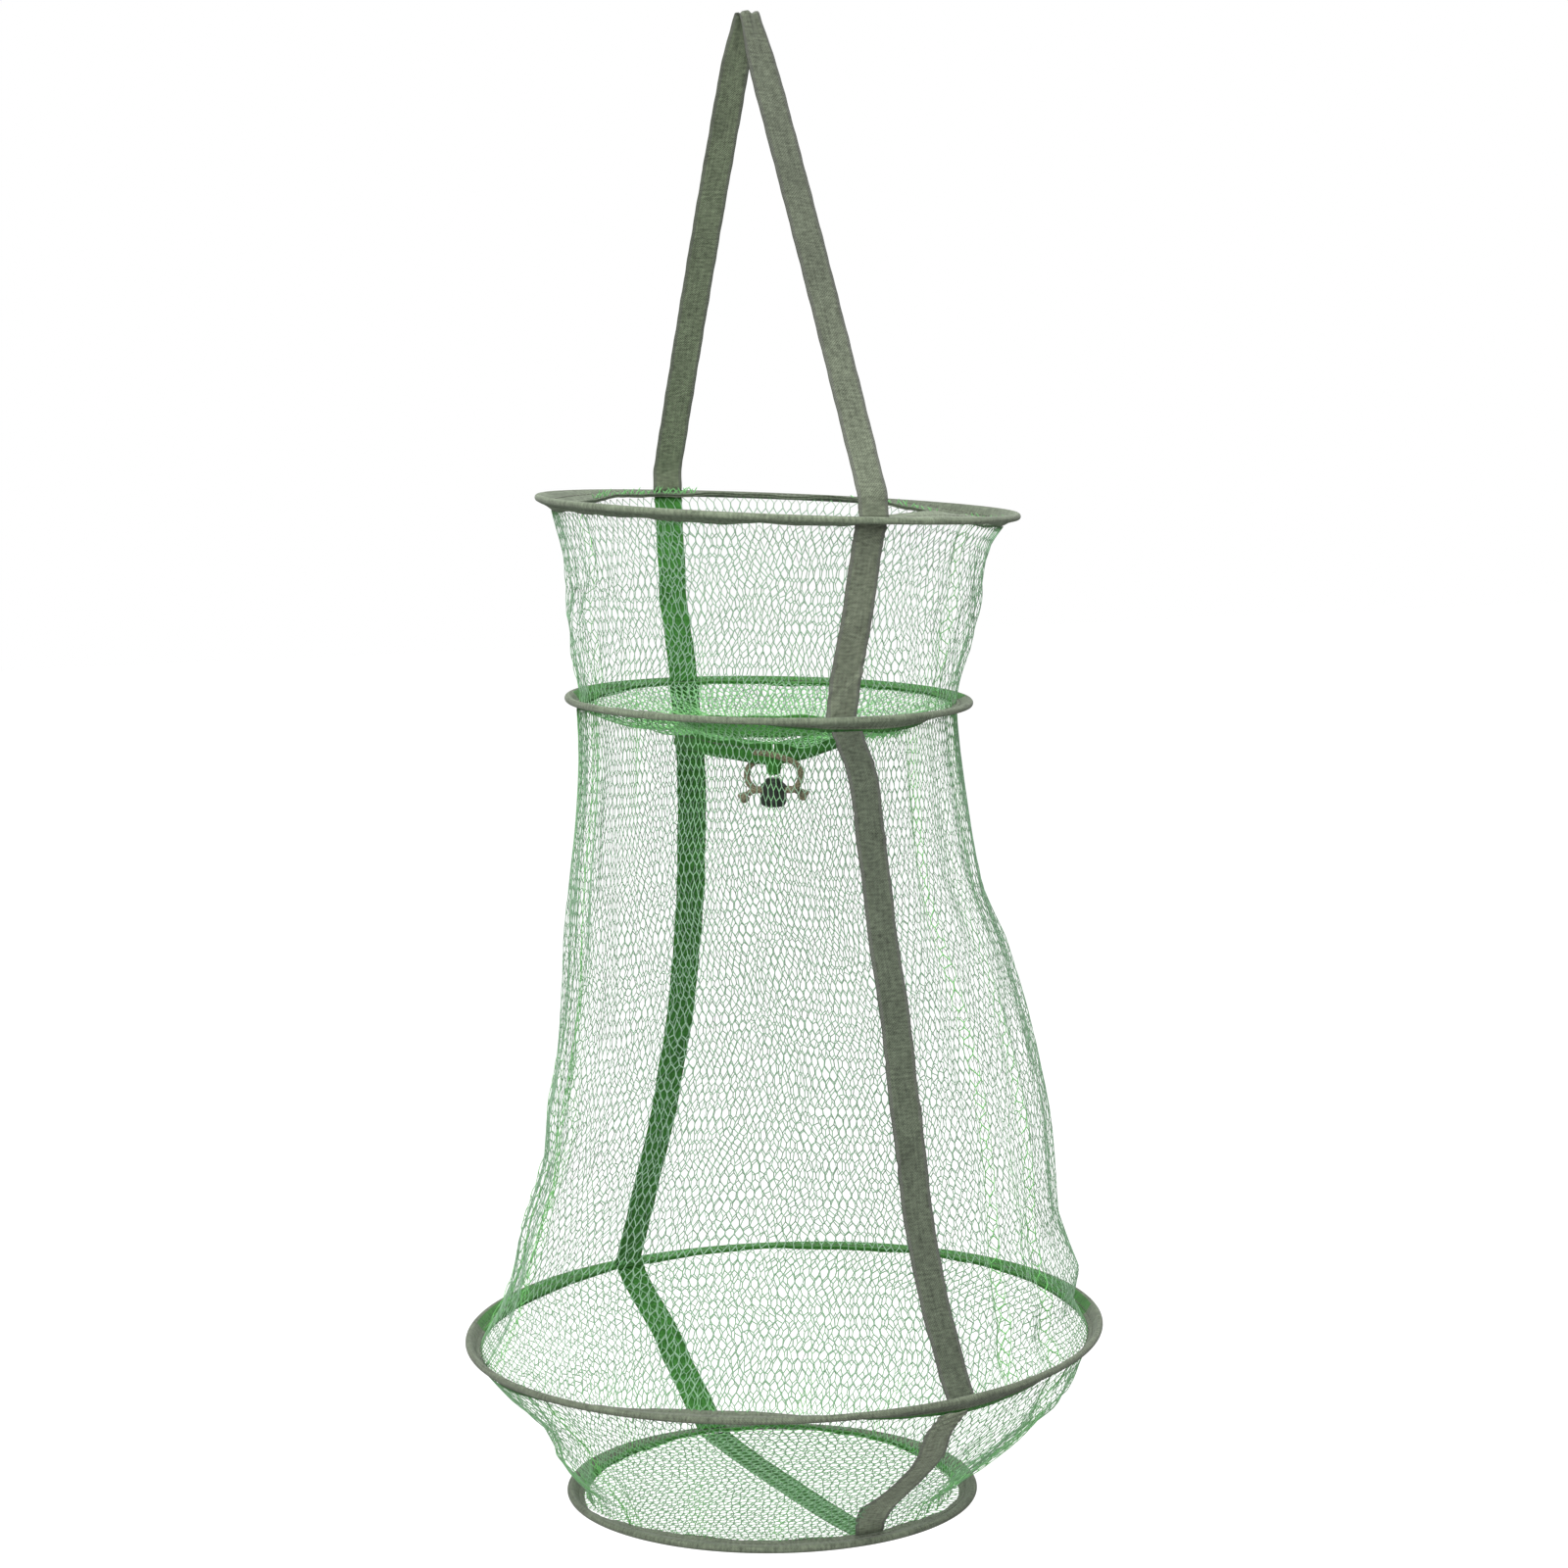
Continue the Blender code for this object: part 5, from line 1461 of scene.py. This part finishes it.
def knot_piece(name, line):
    """An overhand knot pulled tight: a tube along a trefoil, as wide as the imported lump.

    The trefoil is (sin t + 2 sin 2t, cos t - 2 cos 2t, -1.5 sin 3t), scaled to the knot.
    """
    ahead = unit(line[-1] - line[-2])
    centre = line[-1] + ahead * (KNOT_RADIUS + CLEAR)
    side = unit(np.cross(ahead, UP))
    t = full_turn(120)
    loop = np.stack([np.sin(t) + 2 * np.sin(2 * t), np.cos(t) - 2 * np.cos(2 * t),
                     -1.5 * np.sin(3 * t)], axis=1) * (KNOT_RADIUS * 0.235)
    path = centre + loop @ np.stack([side, np.cross(side, ahead), ahead])
    tangent = unit(np.roll(path, -1, axis=0) - np.roll(path, 1, axis=0))
    first = unit(np.cross(tangent, path - centre))
    turn = full_turn(14)
    grid = path[:, None] + KNOT_RADIUS * 0.43 * spokes(first, np.cross(first, tangent), turn)
    return grid_piece(name, grid, cord_braid, lengths_round(path), round_cord(turn),
                      closed_along=True)


# %% The drawstring's pieces
for word, side in (("right", 1), ("left", -1)):
    line = tail_line(side)
    tail = cord_tube("cord_tail_" + word, line, CORD_RADIUS, cord_braid)
    knot = knot_piece("cord_knot_" + word, line)
    dress(tail, throat.body, "drawstring_tail_" + word)
    dress(knot, throat.body, "drawstring_knot_" + word)

ring_angle = np.linspace(EXIT + HALF_OPENING, EXIT + 2 * np.pi - HALF_OPENING, 240)
ring_line = throat.place(HEM_CENTRE, ring_angle, HEM_HEIGHT + hem_lift(ring_angle))
ring_cord = cord_tube("cord_in_hem", ring_line, CORD_RADIUS * 0.97, cord_braid)
dress(ring_cord, throat.body, "drawstring")

# %% [markdown]
# The cord lock's spring is a helix between the floor of the body and the button. It is
# blended between the two, so that it shortens when the button is pressed.

# %% Spring of the cord lock
COIL_RADIUS, COIL_STEPS = 0.0039, 72
COIL_LOW, COIL_HIGH = -0.0071, -0.0046
COIL_WIRE = 0.0002
coil_turn = np.linspace(0, 6 * np.pi, COIL_STEPS)
coil_line = exit_middle - UP * LOCK_DROP + COIL_RADIUS * outward_at(coil_turn) \
    + UP * np.linspace(COIL_LOW, COIL_HIGH, COIL_STEPS)[:, None]
coil = cord_tube("lock_coil", coil_line, COIL_WIRE, hoop_steel, rib=0.0)
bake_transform(coil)
dress(coil, node="cord_lock_spring")

# %% [markdown]
# ## Floor, backdrop and light
#
# The photograph is on pure white with very soft light, mostly from above and in front. A
# world of plain white light does most of it, and two large lamps give the tapes and threads
# a little shape. The floor lies well below the hanging bag. What the camera sees directly of
# the world is set to white, and the floor keeps the bag's soft shadow.

# %% The white world
world = bpy.data.worlds.new("studio")
bpy.context.scene.world = world
world.use_nodes = True
sky = world.node_tree.nodes["Background"]
sky.inputs["Color"].default_value = WHITE
sky.inputs["Strength"].default_value = 0.40
seen = add_node(world, "Background", {"Color": WHITE, "Strength": 1.0})
rays = add_node(world, "LightPath")
direct = maths(world, "MAXIMUM", rays.outputs["Is Camera Ray"], rays.outputs["Is Glossy Ray"])
direct = maths(world, "MAXIMUM", direct, rays.outputs["Is Transmission Ray"])
choose = add_node(world, "MixShader", {0: direct, 1: sky.outputs[0], 2: seen.outputs[0]})
world.node_tree.links.new(choose.outputs[0],
                          world.node_tree.nodes["World Output"].inputs["Surface"])

# %% The studio's floor
FLOOR_Z, FLOOR_HALF = -1.05, 7.0

floor_paint = new_finish("floor_paint", (0.36, 0.36, 0.36), 0.9, Specular_IOR_Level=0.0)
glow = add_node(floor_paint, "Emission", {"Color": WHITE, "Strength": 0.87})
nothing = add_node(floor_paint, "Emission", {"Strength": 0.0})
pick = add_node(floor_paint, "MixShader",
                {0: add_node(floor_paint, "LightPath").outputs["Is Camera Ray"],
                 1: nothing.outputs[0], 2: glow.outputs[0]})
floor_tree = floor_paint.node_tree
both = add_node(floor_paint, "AddShader",
                {0: floor_tree.nodes["Principled BSDF"].outputs[0], 1: pick.outputs[0]})
floor_tree.links.new(both.outputs[0], floor_tree.nodes["Material Output"].inputs["Surface"])
floor_points = np.array([[-1, -1, 0], [1, -1, 0], [1, 1, 0], [-1, 1, 0]]) * FLOOR_HALF \
    + UP * FLOOR_Z
link_mesh("studio_floor", floor_points, [(0, 1, 2, 3)], floor_paint)


# %% Lamps
def soft_lamp(name, place, aim, watts, size=1.8):
    """A square area lamp that faces a point."""
    data = bpy.data.lights.new(name, "AREA")
    data.size, data.energy = size, watts
    lamp = bpy.data.objects.new(name, data)
    lamp.location = place
    lamp.rotation_euler = (Vector(aim) - Vector(place)).to_track_quat("-Z", "Y").to_euler()
    bpy.context.scene.collection.objects.link(lamp)


soft_lamp("key_lamp", (1.9, -1.5, 1.2), (0, 0, -0.45), 74)
soft_lamp("top_lamp", (-0.2, 0.4, 1.9), (0, 0, -0.4), 30)

# %% [markdown]
# ## Finish
#
# The view transform is set to Standard so that colours come out as they are written.

# %% Count the faces and finish
bpy.context.scene.view_settings.view_transform = "Standard"
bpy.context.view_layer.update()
faces = sum(len(o.data.polygons) for o in bpy.data.objects if o.type == "MESH")
print("faces in all:", faces)
